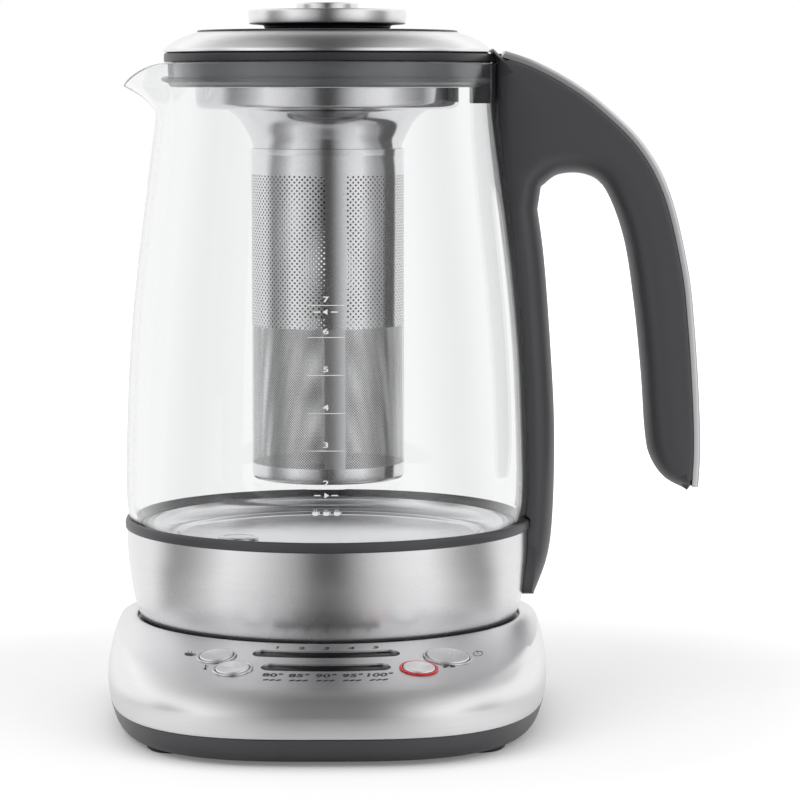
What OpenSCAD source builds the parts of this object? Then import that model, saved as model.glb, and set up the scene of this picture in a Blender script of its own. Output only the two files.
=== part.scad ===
// Automatic tea maker: a glass jug with a heated steel foot, a brewing basket
// with its lid, and a powered base with four push buttons.
// Millimetres. Z is up, the front of the base faces -Y, the handle points to
// +X and the spout to -X. The origin is the middle of the object's footprint
// box, on the surface that the feet stand on.

/* [Base] */
// How far the base's sides stand out past the jug
side_margin = 4.9; // [3.8:0.1:9]
// How far the base reaches in front of the jug
front_margin = 47.6; // [44:0.1:58]
// How far the base reaches behind the jug
rear_margin = 5.3; // [4.2:0.1:12]
// Height at which the base's wall is widest
belly_z = 16.5; // [15:0.1:17.5]
// Height where the steel cover ends and the dark skirt begins
skirt_top_z = 9.8; // [9:0.1:10.5]
// Height of the skirt's underside over the ground
skirt_lift = 1.5; // [1:0.1:2]
// Thickness of the skirt's floor
skirt_floor = 2.6; // [2:0.1:3]
// Thickness of the skirt's wall
skirt_wall = 2.4; // [2:0.1:3]
// Thickness of the steel cover
cover_wall = 0.8; // [0.6:0.1:1.2]
// Slope of the control panel, in degrees
panel_tilt = 10.6; // [8:0.1:12]
// How far the lip round the jug's recess lies inside the jug's widest radius
lip_in = 1.4; // [0.8:0.1:1.8]
// Width of that lip
lip_w = 2.3; // [1.8:0.1:2.6]
// Height of that lip
lip_z = 32.3; // [31.5:0.1:33]
// Depth of the recess, from the lip down to the deck that the jug stands on
deck_drop = 3.3; // [2.8:0.1:4]
// Thickness of the deck
deck_t = 2.2; // [1.8:0.1:2.8]

/* [Feet] */
// Radius of a rubber foot
foot_r = 9.5; // [8:0.1:11]
// Depth of the pocket that holds a foot
foot_pocket = 1.2; // [0.8:0.1:1.6]
// Sideways place of the feet
foot_x = 50; // [44:0.5:52]
// Place of the front feet, forward of the jug's axis
foot_front_y = 84; // [78:0.5:86]
// Place of the back feet, behind the jug's axis
foot_rear_y = 40; // [36:0.5:44]

/* [Controls] */
// Radius of the small button caps
cap_r = 5.65; // [5:0.05:6]
// Radius of the start timer's cap
timer_cap_r = 7.2; // [6.5:0.05:7.5]
// Radius of the start and stop cap
start_cap_r = 5.35; // [5:0.05:6]
// Width of the ring round a cap
bezel_w = 0.9; // [0.7:0.05:1.2]
// Gap between a cap and its ring
cap_gap = 0.25; // [0.2:0.05:0.4]
// Travel of a button
button_travel = 1; // [0.6:0.1:1.4]
// Height of a cap over the panel
cap_proud = 0.9; // [0.6:0.1:1.2]
// From the recess's lip to the time display
time_arc_out = 9.2; // [8:0.1:10]
// Half of the time display's width
time_half_w = 24.5; // [22:0.5:26]
// From the time display to the temperature display
arc_pitch = 12; // [10.5:0.1:13]
// Half of the temperature display's width
temp_half_w = 21.4; // [20:0.1:24]
// Breadth of a display slot
slot_w = 4.6; // [4:0.1:5.2]
// Thickness of the circuit board
board_t = 1.6; // [1.2:0.1:2]
// Height of the circuit board over the skirt's floor
board_lift = 9.6; // [8:0.1:11]

/* [Jug] */
// Outer radius of the glass at its widest
jug_r = 71.7; // [68:0.1:76]
// How much narrower the glass is at its neck
neck_in = 11.7; // [10:0.1:14]
// Thickness of the glass
glass_wall = 2.3; // [2:0.1:2.8]
// Height of the glass, from its lower edge to its rim
glass_height = 164.2; // [150:0.2:176]
// How far the spout stands out from the neck
spout_out = 11.6; // [9:0.1:14]
// How far the spout's tip lies below the rim
spout_drop = 8.1; // [6:0.1:9]
// Height of the steel band round the jug's foot
band_height = 34.1; // [31:0.1:38]
// Thickness of the steel band round the jug's foot
band_t = 0.8; // [0.6:0.1:1.2]
// Gap between the jug's underside and the deck
jug_lift_gap = 0.2; // [0.1:0.05:0.3]
// Width of the heating plate's raised edge, from its flat middle to the jug
plate_edge_w = 18.7; // [17:0.1:20]
// How far the heating plate lies below the glass's lower edge
plate_drop = 3; // [2.6:0.1:3.4]
// Thickness of the heating plate
plate_t = 0.6; // [0.5:0.1:1]

/* [Handle] */
// How far the handle stands out from the jug
handle_span = 59.7; // [54:0.1:66]
// Half of the handle's breadth
handle_half = 13; // [11:0.2:15]
// Height of the grip's free lower end over the steel band
grip_end_lift = 12.8; // [8:0.1:18]
// Thickness of the steel strip on the grip
trim_t = 2.4; // [1.8:0.1:3]

/* [Basket] */
// Outer radius of the brewing tube
tube_r = 26.9; // [25:0.1:28]
// Thickness of the tube's steel
tube_wall = 0.6; // [0.5:0.1:1]
// Length of the brewing tube
tube_length = 116.3; // [100:0.1:122]
// Height of the steel funnel over the tube
funnel_height = 21.3; // [19:0.1:26]
// How much narrower the basket's collar is than the glass's neck
collar_in = 13.6; // [13:0.1:16]
// How far the collar's upper edge lies below the rim
collar_drop = 8.5; // [8:0.1:9.5]
// How much narrower the holder's dark flange is than the neck
flange_in = 2.6; // [2.4:0.1:3.2]

/* [Lid] */
// How much narrower the lid's steel ring is than the neck
lid_in = 2.2; // [2:0.1:3]
// Width of that steel ring
lid_ring_w = 12.1; // [10:0.1:14]
// Radius of the knob
knob_r = 27.7; // [24:0.1:30]
// Height of the lid, from its seat to its dark disc
lid_height = 7.7; // [7:0.1:10]
// Height of the knob over the lid
knob_height = 7.2; // [6.4:0.1:10]
// Thickness of the knob's grip
knob_t = 5; // [4:0.1:5.6]

/* [Hidden] */
$fn = 96;

// Free space between pieces that only meet
seat = 0.1;
// How far a cutting tool runs past what it cuts
past = 1;

// Radii and heights that follow the jug's
base_half_w = jug_r + side_margin;
base_front = jug_r + front_margin;
base_rear = jug_r + rear_margin;
lip_r = jug_r - lip_in;
lip_inner_r = lip_r - lip_w;
deck_z = lip_z - deck_drop;
time_arc_r = lip_r + time_arc_out;
temp_arc_r = time_arc_r + arc_pitch;
neck_r = jug_r - neck_in;
spout_reach = neck_r + spout_out;
jug_foot_z = deck_z + jug_lift_gap;
band_top_z = jug_foot_z + band_height;
glass_foot_z = band_top_z - 0.7;
rim_z = glass_foot_z + glass_height;
plate_flat_r = jug_r - plate_edge_w;
plate_z = glass_foot_z - plate_drop;
handle_reach = jug_r + handle_span;
grip_end_z = band_top_z + grip_end_lift;

// Places that keep the object centred over its footprint
gland_proud = 1.2;
origin_x = (handle_reach - base_half_w) / 2;
origin_y = (base_rear + gland_proud - base_front) / 2;
// Base, derived
around = 96;
front_power = 3.05;
rear_power = 2.1;
crease_power = 2.65;
crease_front_in = 7.5;
crease_side_in = 2.8;
foot_in = 5.4;
steel_in = 1.1;
crease_start = 28;
skirt_rise = 4.2;
floor_z = skirt_lift + skirt_floor;
board_z = floor_z + board_lift;
board_half_w = 52;
board_front = temp_arc_r + 6.5;
board_back = lip_inner_r;
post_r = 3;
screw_head_r = 3.4;
screw_shank_r = 1.6;
screw_head_t = 1.5;
boss_r = post_r + 0.8;
boss_h = 6;
screw_side_x = base_half_w - 18.6;
screw_spots = [[0, 27.3 - base_front], [-screw_side_x, -8], [screw_side_x, -8]];
gland_r = 4.6;
gland_bore_r = 3.4;
gland_flange_r = 5.8;
gland_z = 10.4;
gland_length = 9;
connector_r = 14.5;
connector_wall = 2;
connector_top_z = deck_z + 10.5;
connector_flange_r = 25;
connector_flange_t = 3;
connector_core_r = 4.6;
contact_radii = [6.6, 9.8];
contact_w = 1.2;
// Height of a contact ring over the deck, and its depth in the connector
contact_proud = 0.3;
contact_depth = 0.6;
// The fine groove in the deck round the connector
groove_r = 26;
groove_w = 2;
groove_depth = 0.6;
// The collar on the skirt's floor that carries the connector
support_r = 30;
support_wall = 2.4;

// Place [x, y] of a button in the jug's axis frame, from its sideways place and
// its distance from the axis
function panel_spot(x, r) = [x, -sqrt(r * r - x * x)];

brew_time_spot = panel_spot(-36.5, time_arc_r + 5.7);
temp_spot = panel_spot(-30.7, temp_arc_r + 3.6);
start_timer_spot = panel_spot(40.5, time_arc_r + 7.5);
start_stop_spot = panel_spot(30.7, temp_arc_r + 3.6);
cap_t = 2.2;
stem_r = 2;
switch_w = 6;
switch_h = 3.4;
plunger_r = 1.7;
plunger_h = 1;
light_size = [3, 2, 1.2];
lights = 5;

// Jug, derived
ring_top_z = band_top_z + 3.5;
ring_r = jug_r + 0.5;
socket_r = 21;
socket_top_z = connector_top_z + 5.5;
inner_neck_r = neck_r - glass_wall;
// The heating plate's bead and its dished edge
plate_rim_r = jug_r - 7.2;
plate_rim_rise = 5.2;
plate_bead = 0.9;
socket_gap = 0.4;
element_r = 23;
element_tube_r = 3.2;
diffuser_t = 1.8;
diffuser_r = plate_flat_r - 5;
sensor_r = 7.15;
sensor_spot = [-31.5, -17.8];
sensor_hole_r = sensor_r - 1.6;
hook_half = 8;
hook_out_x = neck_r + 1;
hook_foot_z = rim_z - 14;
hook_top_z = rim_z + 3.3;

// Basket and lid, derived
insert_r = inner_neck_r - 3.3;
seal_inner_r = insert_r - 4;
seal_r = inner_neck_r - 0.3;
hook_in_x = seal_inner_r + 0.2;
collar_r = neck_r - collar_in;
collar_top_z = rim_z - collar_drop;
collar_t = 0.8;
collar_depth = 7.5;
collar_foot_z = collar_top_z - collar_depth;
tube_top_z = collar_top_z - funnel_height;
tube_foot_z = tube_top_z - tube_length;
throat_r = collar_r - 10.4;
flange_r = neck_r - flange_in;
flange_z = rim_z + 0.4;
flange_top_z = flange_z + 3.2;
insert_foot_z = collar_top_z + seat;
lid_foot_z = flange_top_z + seat;
lid_r = neck_r - lid_in;
disc_r = lid_r - lid_ring_w;
lid_top_z = lid_foot_z + lid_height;
disc_t = 1.4;
disc_foot_z = lid_top_z - disc_t;
knob_top_z = lid_top_z + knob_height;
knob_foot_z = knob_top_z - knob_t;
neck_knob_r = knob_r - 5.5;
raised_disc_r = 10.8;
raised_disc_h = 2.4;

// ---------------------------------------------------------------- curves

function unit(v) = v / norm(v);

function turned(v) = [-v[1], v[0]];

// A point on the smooth curve through a, b, c and d, between b and c
function between(a, b, c, d, t) =
    0.5 * (2 * b + (c - a) * t + (2 * a - 5 * b + 4 * c - d) * t * t
        + (3 * b - a - 3 * c + d) * t * t * t);

// A smooth open curve through all of the knots
function smooth_curve(knots, steps) = concat(
    [for (i = [0 : len(knots) - 2], s = [0 : steps - 1])
        between(knots[max(i - 1, 0)], knots[i], knots[i + 1],
            knots[min(i + 2, len(knots) - 1)], s / steps)],
    [knots[len(knots) - 1]]);

// An open curve moved to its left by a distance
function moved_left(curve, d) = [for (i = [0 : len(curve) - 1])
    curve[i] + d * unit(turned(
        curve[min(i + 1, len(curve) - 1)] - curve[max(i - 1, 0)]))];

// A closed outline that runs clockwise, grown by a distance
function drawn_out(outline, d) = let (n = len(outline)) [for (i = [0 : n - 1])
    outline[i] + d * unit(turned(outline[(i + 1) % n] - outline[(i + n - 1) % n]))];

function reversed(list) = [for (i = [len(list) - 1 : -1 : 0]) list[i]];

// Height of the panel's cone at a distance from the jug's axis
function panel_z(r) = lip_z - tan(panel_tilt) * (r - lip_r);

// Distance from the axis to the base's plan at an angle
function plan_r(angle, side, front, rear, power) =
    let (reach = sin(angle) < 0 ? front : rear,
        n = sin(angle) < 0 ? power : rear_power)
    pow(pow(abs(cos(angle)) / side, n) + pow(abs(sin(angle)) / reach, n), -1 / n);

function belly_r(angle) =
    plan_r(angle, base_half_w, base_front, base_rear, front_power);

function crease_r(angle) = plan_r(angle, base_half_w - crease_side_in,
    base_front - crease_front_in, base_rear - crease_side_in, crease_power);

function ring_angle(i) = 360 * i / around;

function polar_point(r, angle, z) = [r * cos(angle), r * sin(angle), z];

function circle_ring(r, z) =
    [for (i = [0 : around - 1]) polar_point(r, ring_angle(i), z)];

// The belly's plan, drawn in by a distance, at a height
function belly_ring(inset, z) =
    [for (i = [0 : around - 1]) let (a = ring_angle(i)) polar_point(belly_r(a) - inset, a, z)];

// The rounded shoulder from the crease (t = 0) to the belly (t = 1)
function shoulder_ring(t, inset) = [for (i = [0 : around - 1])
    let (a = ring_angle(i), turn = crease_start + (90 - crease_start) * t,
        out = (sin(turn) - sin(crease_start)) / (1 - sin(crease_start)),
        down = (cos(crease_start) - cos(turn)) / cos(crease_start),
        rc = crease_r(a), zc = panel_z(rc),
        r = rc + (belly_r(a) - rc) * out,
        z = zc + (belly_z - zc) * down)
    polar_point(r - inset, a, z - inset * (1 - t))];

// ---------------------------------------------------------------- shapes

// A skin over rings of points, closed by flat ends, or into a loop of rings
module skin(rings, loop = false) {
    n = len(rings[0]);
    m = len(rings);
    points = [for (ring = rings, p = ring) p];
    spans = loop ? m : m - 1;
    sides = [for (i = [0 : spans - 1], j = [0 : n - 1], half = [0, 1])
        let (k = (i + 1) % m, l = (j + 1) % n)
        half == 0 ? [i * n + j, k * n + j, k * n + l]
            : [i * n + j, k * n + l, i * n + l]];
    ends = loop ? [] : [
        [for (j = [0 : n - 1]) j],
        [for (j = [n - 1 : -1 : 0]) (m - 1) * n + j]];
    polyhedron(points, concat(sides, ends));
}

// A turned piece from a closed [radius, height] outline
module turned_piece(outline) {
    rotate_extrude() polygon(outline);
}

// A flat ring between two radii, from one height to another
module tube_ring(outer, inner, low, high) {
    turned_piece([[inner, low], [outer, low], [outer, high], [inner, high]]);
}

module at_axis() {
    translate([-origin_x, -origin_y, 0]) children();
}

// Puts children on the panel, with Z square to it and 0 at its surface
module on_panel(spot) {
    r = norm(spot);
    translate([spot[0], spot[1], panel_z(r)])
        rotate([0, 0, atan2(spot[1], spot[0])])
            rotate([0, panel_tilt, 0]) children();
}

// An arc-shaped bar, round at its ends, in front of the jug's axis
module arc_bar(arc_r, half_w, width, low, high) {
    sweep = asin(half_w / arc_r) - asin(slot_w / 2 / arc_r);
    rotate([0, 0, 270 - sweep])
        rotate_extrude(angle = 2 * sweep)
            translate([arc_r - width / 2, low]) square([width, high - low]);
    for (side = [-1, 1])
        rotate([0, 0, 270 + side * sweep])
            translate([arc_r, 0, low]) cylinder(r = width / 2, h = high - low, $fn = 32);
}

// ---------------------------------------------------------------- base

module base_skirt() {
    upstand = cover_wall + steel_in + 0.25;
    at_axis() color("#4a4b4e") difference() {
        union() {
            skin([
                belly_ring(foot_in, skirt_lift),
                belly_ring(3.7, skirt_lift + 1.9),
                belly_ring(2.3, skirt_lift + 4.6),
                belly_ring(steel_in, skirt_top_z - seat),
                belly_ring(upstand, skirt_top_z - seat),
                belly_ring(upstand, skirt_top_z + skirt_rise),
                belly_ring(upstand + skirt_wall, skirt_top_z + skirt_rise),
                belly_ring(foot_in + skirt_wall, floor_z),
            ]);
            for (x = [-1, 1], y = [board_back + 4, board_front - 4])
                translate([x * (board_half_w - 10), -y, floor_z - past])
                    cylinder(r = post_r, h = board_lift + past, $fn = 32);
            for (spot = screw_spots)
                translate([spot[0], spot[1], floor_z - past])
                    cylinder(r = boss_r, h = boss_h + past, $fn = 32);
            tube_ring(support_r, support_r - support_wall, floor_z - past,
                deck_z - deck_t - connector_flange_t - seat);
        }
        for (x = [-1, 1], y = [-foot_front_y, foot_rear_y])
            translate([x * foot_x, y, skirt_lift - past])
                cylinder(r = foot_r + seat, h = past + foot_pocket);
        for (spot = screw_spots) translate([spot[0], spot[1], skirt_lift - past]) {
            cylinder(r = screw_head_r + 0.3, h = past + screw_head_t + 0.4, $fn = 32);
            cylinder(r = screw_shank_r + seat, h = past + skirt_floor + 5, $fn = 32);
        }
        gland_hole();
    }
}

module gland_hole() {
    translate([0, base_rear - gland_length - skirt_wall, gland_z]) rotate([-90, 0, 0])
        cylinder(r = gland_r + seat, h = gland_length + skirt_wall + past, $fn = 48);
}

module base_cover() {
    inner_lip_z = lip_z - 0.7;
    steps = 5;
    at_axis() color("#c9cacc") difference() {
        skin(reversed(concat(
            [circle_ring(lip_inner_r, inner_lip_z), circle_ring(lip_inner_r + 0.6, lip_z - 0.15),
                circle_ring(lip_r, lip_z)],
            [for (k = [0 : steps]) shoulder_ring(k / steps, 0)],
            [belly_ring(steel_in * 0.3, skirt_top_z + 3.2), belly_ring(steel_in, skirt_top_z)],
            [belly_ring(steel_in + cover_wall, skirt_top_z), belly_ring(cover_wall, belly_z)],
            [for (k = [steps - 1 : -1 : 0]) shoulder_ring(k / steps, cover_wall)],
            [circle_ring(lip_r, lip_z - cover_wall),
                circle_ring(lip_inner_r, inner_lip_z - cover_wall)])), loop = true);
        arc_bar(time_arc_r, time_half_w, slot_w, lip_z - 8, lip_z + past);
        arc_bar(temp_arc_r, temp_half_w, slot_w, lip_z - 10, lip_z + past);
        for (b = [[brew_time_spot, cap_r], [temp_spot, cap_r],
                [start_timer_spot, timer_cap_r], [start_stop_spot, start_cap_r]])
            on_panel(b[0]) translate([0, 0, -6])
                cylinder(r = b[1] + cap_gap + bezel_w / 2 + seat, h = 12, $fn = 64);
        gland_hole();
    }
}

module base_deck() {
    flange_z = lip_z - 0.7 - cover_wall - seat;
    at_axis() color("#2f3033") difference() {
        turned_piece([
            [0, deck_z - deck_t], [lip_inner_r - 1, deck_z - deck_t],
            [lip_inner_r + 1.6, flange_z - 1.4], [lip_inner_r + 1.6, flange_z],
            [lip_inner_r - 0.4, flange_z], [lip_inner_r - 2.2, deck_z + 0.9],
            [lip_inner_r - 3.2, deck_z + 0.2], [lip_inner_r - 4.2, deck_z],
            [groove_r + groove_w, deck_z], [groove_r + groove_w / 2, deck_z - groove_depth],
            [groove_r - groove_w / 2, deck_z - groove_depth], [groove_r - groove_w, deck_z], [0, deck_z],
        ]);
        translate([0, 0, deck_z - deck_t - past])
            cylinder(r = connector_r + seat, h = deck_t + 2 * past);
    }
}

module foot(x, y) {
    at_axis() color("#3a3a3c") translate([x, y, 0]) turned_piece([
        [0, 0], [foot_r - 1, 0], [foot_r, 0.8], [foot_r, skirt_lift + foot_pocket - seat],
        [0, skirt_lift + foot_pocket - seat],
    ]);
}

module base_screw(spot) {
    at_axis() color("#8f9194") translate([spot[0], spot[1], skirt_lift + 0.2]) difference() {
        union() {
            cylinder(r = screw_head_r, h = screw_head_t, $fn = 32);
            cylinder(r = screw_shank_r, h = skirt_floor + 4, $fn = 32);
        }
        for (turn = [0, 90]) rotate([0, 0, turn])
            translate([-2, -0.4, -past]) cube([4, 0.8, past + 0.8]);
    }
}

module cord_gland() {
    at_axis() color("#2b2b2d") translate([0, base_rear + gland_proud, gland_z])
        rotate([90, 0, 0]) difference() {
            union() {
                cylinder(r = gland_flange_r, h = gland_proud, $fn = 48);
                cylinder(r = gland_r, h = gland_length, $fn = 48);
            }
            translate([0, 0, -past])
                cylinder(r = gland_bore_r, h = gland_length + 2 * past, $fn = 48);
        }
}

module base_connector() {
    under = deck_z - deck_t;
    at_axis() color("#26272a") difference() {
        turned_piece([
            [0, under - connector_flange_t], [connector_flange_r, under - connector_flange_t],
            [connector_flange_r, under - seat], [connector_r, under - seat],
            [connector_r, connector_top_z - 1], [connector_r - 0.7, connector_top_z],
            [connector_r - connector_wall, connector_top_z],
            [connector_r - connector_wall, deck_z + 0.4], [connector_core_r, deck_z + 0.4],
            [connector_core_r, connector_top_z - 2.4], [connector_core_r - 0.8, connector_top_z - 1.6],
            [0, connector_top_z - 1.6],
        ]);
        for (r = contact_radii)
            tube_ring(r + contact_w / 2 + seat, r - contact_w / 2 - seat,
                deck_z - contact_depth, deck_z + past);
        translate([0, 0, connector_top_z - 8]) cylinder(r = 1.8, h = 8, $fn = 32);
    }
}

module contact_rings() {
    at_axis() color("#c8a14a") for (r = contact_radii)
        tube_ring(r + contact_w / 2, r - contact_w / 2, deck_z - contact_depth, deck_z + contact_proud);
}

// ---------------------------------------------------------------- controls

// A smoked lens that lies in its slot, just under the panel's surface
module display_window(arc_r, half_w) {
    clear = 0.15;
    sunk = 0.5;
    thick = 2;
    inner = arc_r - slot_w;
    outer = arc_r + slot_w;
    at_axis() color("#151517") intersection() {
        arc_bar(arc_r, half_w, slot_w - 2 * clear, lip_z - 14, lip_z);
        turned_piece([
            [inner, panel_z(inner) - sunk - thick], [outer, panel_z(outer) - sunk - thick],
            [outer, panel_z(outer) - sunk], [inner, panel_z(inner) - sunk],
        ]);
    }
}

module time_window() { display_window(time_arc_r, time_half_w); }

module temp_window() { display_window(temp_arc_r, temp_half_w); }

module control_board() {
    hole_r = 1.6;
    at_axis() color("#1f5a3a") difference() {
        translate([-board_half_w, -board_front, board_z + seat])
            cube([2 * board_half_w, board_front - board_back, board_t]);
        for (x = [-1, 1], y = [board_back + 4, board_front - 4])
            translate([x * (board_half_w - 10), -y, board_z - past])
                cylinder(r = hole_r, h = board_t + 2 * past, $fn = 32);
    }
}

// A row of lamps under a display, standing on the board
module light_row(arc_r, half_w) {
    sweep = asin(half_w / arc_r) * 0.8;
    at_axis() color("#f2efe2") for (i = [0 : lights - 1])
        rotate([0, 0, 270 - sweep + 2 * sweep * i / (lights - 1)])
            translate([arc_r - light_size[1] / 2, -light_size[0] / 2, board_z + seat + board_t])
                cube([light_size[1], light_size[0], light_size[2]]);
}

module time_lights() { light_row(time_arc_r, time_half_w); }

module temp_lights() { light_row(temp_arc_r, temp_half_w); }

// The ring round a cap: a thin proud rim with a collar through the cover
module bezel(spot, r, tint) {
    inner = r + cap_gap;
    at_axis() color(tint) on_panel(spot) turned_piece([
        [inner, -3], [inner + bezel_w / 2, -3], [inner + bezel_w / 2, seat],
        [inner + bezel_w, seat], [inner + bezel_w, 0.35], [inner + bezel_w - 0.25, 0.6],
        [inner + 0.2, 0.6], [inner, 0.4],
    ]);
}

module brew_time_bezel() { bezel(brew_time_spot, cap_r, "#b9babd"); }

module temp_bezel() { bezel(temp_spot, cap_r, "#b9babd"); }

module start_timer_bezel() { bezel(start_timer_spot, timer_cap_r, "#b9babd"); }

module start_stop_ring() { bezel(start_stop_spot, start_cap_r, "#b8161b"); }

// Along a button's axis, from the panel down to the top of its switch
function stem_length(spot) = (panel_z(norm(spot)) - switch_top_z()) / cos(panel_tilt)
    - button_travel - 0.5;

function switch_top_z() = board_z + seat + board_t + switch_h + plunger_h;

module push_button(spot, r) {
    at_axis() color("#dcdddf") on_panel(spot) {
        turned_piece([
            [0, cap_proud - cap_t], [r, cap_proud - cap_t], [r, cap_proud - 0.35],
            [r - 0.35, cap_proud], [r * 0.5, cap_proud - 0.12], [0, cap_proud - 0.16],
        ]);
        translate([0, 0, -stem_length(spot)])
            cylinder(r = stem_r, h = stem_length(spot) + cap_proud - cap_t / 2, $fn = 32);
    }
}

module brew_time_button() { push_button(brew_time_spot, cap_r); }

module temp_button() { push_button(temp_spot, cap_r); }

module start_timer_button() { push_button(start_timer_spot, timer_cap_r); }

module start_stop_button() { push_button(start_stop_spot, start_cap_r); }

// A small switch on the board, right under the end of a button's stem
module tact_switch(spot) {
    drop = panel_z(norm(spot)) - switch_top_z();
    place = spot - unit(spot) * drop * tan(panel_tilt);
    at_axis() color("#57585b")
        translate([place[0], place[1], board_z + seat + board_t]) {
            translate([-switch_w / 2, -switch_w / 2, 0]) cube([switch_w, switch_w, switch_h]);
            translate([0, 0, switch_h]) cylinder(r = plunger_r, h = plunger_h, $fn = 32);
        }
}

module brew_time_switch() { tact_switch(brew_time_spot); }

module temp_switch() { tact_switch(temp_spot); }

module start_timer_switch() { tact_switch(start_timer_spot); }

module start_stop_switch() { tact_switch(start_stop_spot); }

// ---------------------------------------------------------------- jug

// Outer wall of the glass, from its foot to its rim
function glass_z(v) = glass_foot_z + v * glass_height;

glass_knots = [
    [jug_r - 3.1, glass_foot_z], [jug_r - 1.1, glass_z(0.027)], [jug_r - 0.1, glass_z(0.07)],
    [jug_r - 0.1, glass_z(0.167)], [jug_r - 1.4, glass_z(0.362)],
    [neck_r + 0.658 * neck_in, glass_z(0.542)], [neck_r + 0.385 * neck_in, glass_z(0.697)],
    [neck_r + 0.137 * neck_in, glass_z(0.825)],
    [neck_r, rim_z - 15], [neck_r, rim_z - 4], [neck_r, rim_z],
];
glass_outer = smooth_curve(glass_knots, 4);

// Outer wall of the steel band, from its foot to the dark ring
function band_point(inset, v) = [jug_r - inset, jug_foot_z + v * band_height];

band_knots = [
    band_point(9.1, 0.018), band_point(6.1, 0.053), band_point(4.1, 0.141), band_point(2.4, 0.317),
    band_point(1.2, 0.551), band_point(0.4, 0.757), band_point(0.1, 1),
];
band_outer = smooth_curve(band_knots, 4);

// The spout: its plan runs out of the neck to a round tip, and it flares
// towards its top like a lip
spout_half_angle = 27;
spout_height = 20.5;
spout_flare = 1.7;
// How deep the spout's ends are rooted in the wall of the neck
spout_root = 0.6;
// How far inside the neck the spout's solid starts
spout_core_in = 14;

// Share of the spout's reach at a share s of its half angle, round at the tip
function spout_share(s) = let (tip = 0.25,
    fall = (sqrt(s * s + tip * tip) - tip) / (sqrt(1 + tip * tip) - tip))
    pow(max(0, 1 - fall), 1.3);

// The solid of the spout, or with a wall's inset that of its channel
module spout(inset) {
    steps = 6;
    sides = 8;
    half_angle = spout_half_angle - inset;
    low = rim_z - spout_height + inset;
    tip_z = rim_z - spout_drop;
    root_r = neck_r - spout_root - inset;
    core_r = neck_r - spout_core_in;
    levels = concat([for (k = [0 : steps]) low + (tip_z - low) * k / steps], [rim_z + past]);
    skin([for (z = levels) let (
        reach = (spout_out + spout_root) * pow(min(1, (z - low) / (tip_z - low)), spout_flare))
        concat(
            [for (i = [-sides : sides])
                polar_point(root_r + reach * spout_share(i / sides), 180 + half_angle * i / sides, z)],
            [polar_point(core_r, 180 + half_angle, z), polar_point(core_r, 180 - half_angle, z)])]);
}

module jug_glass() {
    inner = [for (p = glass_outer) [p[0] - glass_wall, p[1]]];
    lip_start_x = 56.5 / 60 * neck_r;
    lip_slope = atan(spout_drop / (spout_reach - lip_start_x));
    at_axis() color("#cfe3ea", 0.35) difference() {
        union() {
            turned_piece(concat(glass_outer, [[0, rim_z], [0, glass_foot_z]]));
            intersection() {
                spout(0);
                cylinder(r = 2 * spout_reach, h = rim_z);
            }
        }
        turned_piece(concat([[0, glass_foot_z - past], [inner[0][0], glass_foot_z - past]],
            inner, [[inner_neck_r, rim_z + past], [0, rim_z + past]]));
        spout(glass_wall);
        // The rim slopes down along the spout to its tip
        translate([-lip_start_x, -spout_reach / 2, rim_z]) rotate([0, 180 - lip_slope, 0])
            translate([-2 * past, 0, -spout_height]) cube([spout_reach / 2, spout_reach, spout_height]);
    }
}

module glass_seal() {
    foot_r_in = glass_outer[0][0] - glass_wall;
    foot_r_out = glass_outer[0][0] + 0.9;
    at_axis() color("#8e9194") turned_piece([
        [foot_r_in - 1.6, glass_foot_z - 1.4], [foot_r_out, glass_foot_z - 1.4],
        [foot_r_out, glass_foot_z - seat], [foot_r_in - seat, glass_foot_z - seat],
        [foot_r_in - seat, glass_foot_z + 2.4], [foot_r_in - 1.6, glass_foot_z + 2.4],
    ]);
}

module band_ring() {
    at_axis() color("#3c3d40") difference() {
        turned_piece([
            [jug_r - 2, band_top_z + seat], [ring_r - 0.3, band_top_z + seat],
            [ring_r, band_top_z + 0.6], [ring_r, ring_top_z - 0.8],
            [ring_r - 0.5, ring_top_z], [jug_r - 2.2, ring_top_z],
        ]);
        glass_envelope(seat);
    }
}

// The solid that the glass fills, grown by a gap
module glass_envelope(gap) {
    turned_piece(concat([for (p = glass_outer) [p[0] + gap, p[1]]],
        [[neck_r + gap, rim_z + gap], [0, rim_z + gap], [0, glass_foot_z]]));
}

module jug_band() {
    inner = [for (p = reversed(band_outer)) [p[0] - band_t, p[1]]];
    at_axis() color("#c4c5c8") turned_piece(concat(band_outer, inner));
}

module jug_floor() {
    bore = socket_r + 0.3;
    rim = band_outer[0][0] - 0.2;
    at_axis() color("#2c2d30") turned_piece([
        [bore, jug_foot_z], [rim - 6, jug_foot_z], [rim - 5, jug_foot_z + 0.6],
        [rim - 0.8, jug_foot_z + 0.6], [rim - 0.8, jug_foot_z + 3.4], [bore + 2.4, jug_foot_z + 3.4],
        [bore + 2.4, socket_top_z + 2], [bore, socket_top_z + 2],
    ]);
}

module jug_socket() {
    cavity_r = connector_r + socket_gap;
    island_r = connector_r - connector_wall - socket_gap;
    core_r = connector_core_r + socket_gap;
    island_z = deck_z + 1.4;
    at_axis() color("#232427") difference() {
        turned_piece([
            [0, connector_top_z + 1], [core_r, connector_top_z - 0.4], [core_r, island_z],
            [island_r, island_z], [island_r, connector_top_z + 1], [cavity_r, connector_top_z + 1],
            [cavity_r, jug_foot_z + 0.4], [socket_r, jug_foot_z + 0.4],
            [socket_r, socket_top_z], [0, socket_top_z],
        ]);
        for (r = contact_radii)
            tube_ring(r + contact_w / 2, r - contact_w / 2, island_z - past, island_z + 1);
    }
}

module socket_contacts() {
    island_z = deck_z + 1.4;
    at_axis() color("#c8a14a") for (r = contact_radii)
        tube_ring(r + contact_w / 2 - seat, r - contact_w / 2 + seat, island_z - 0.5, island_z + 1 - seat);
}

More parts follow.
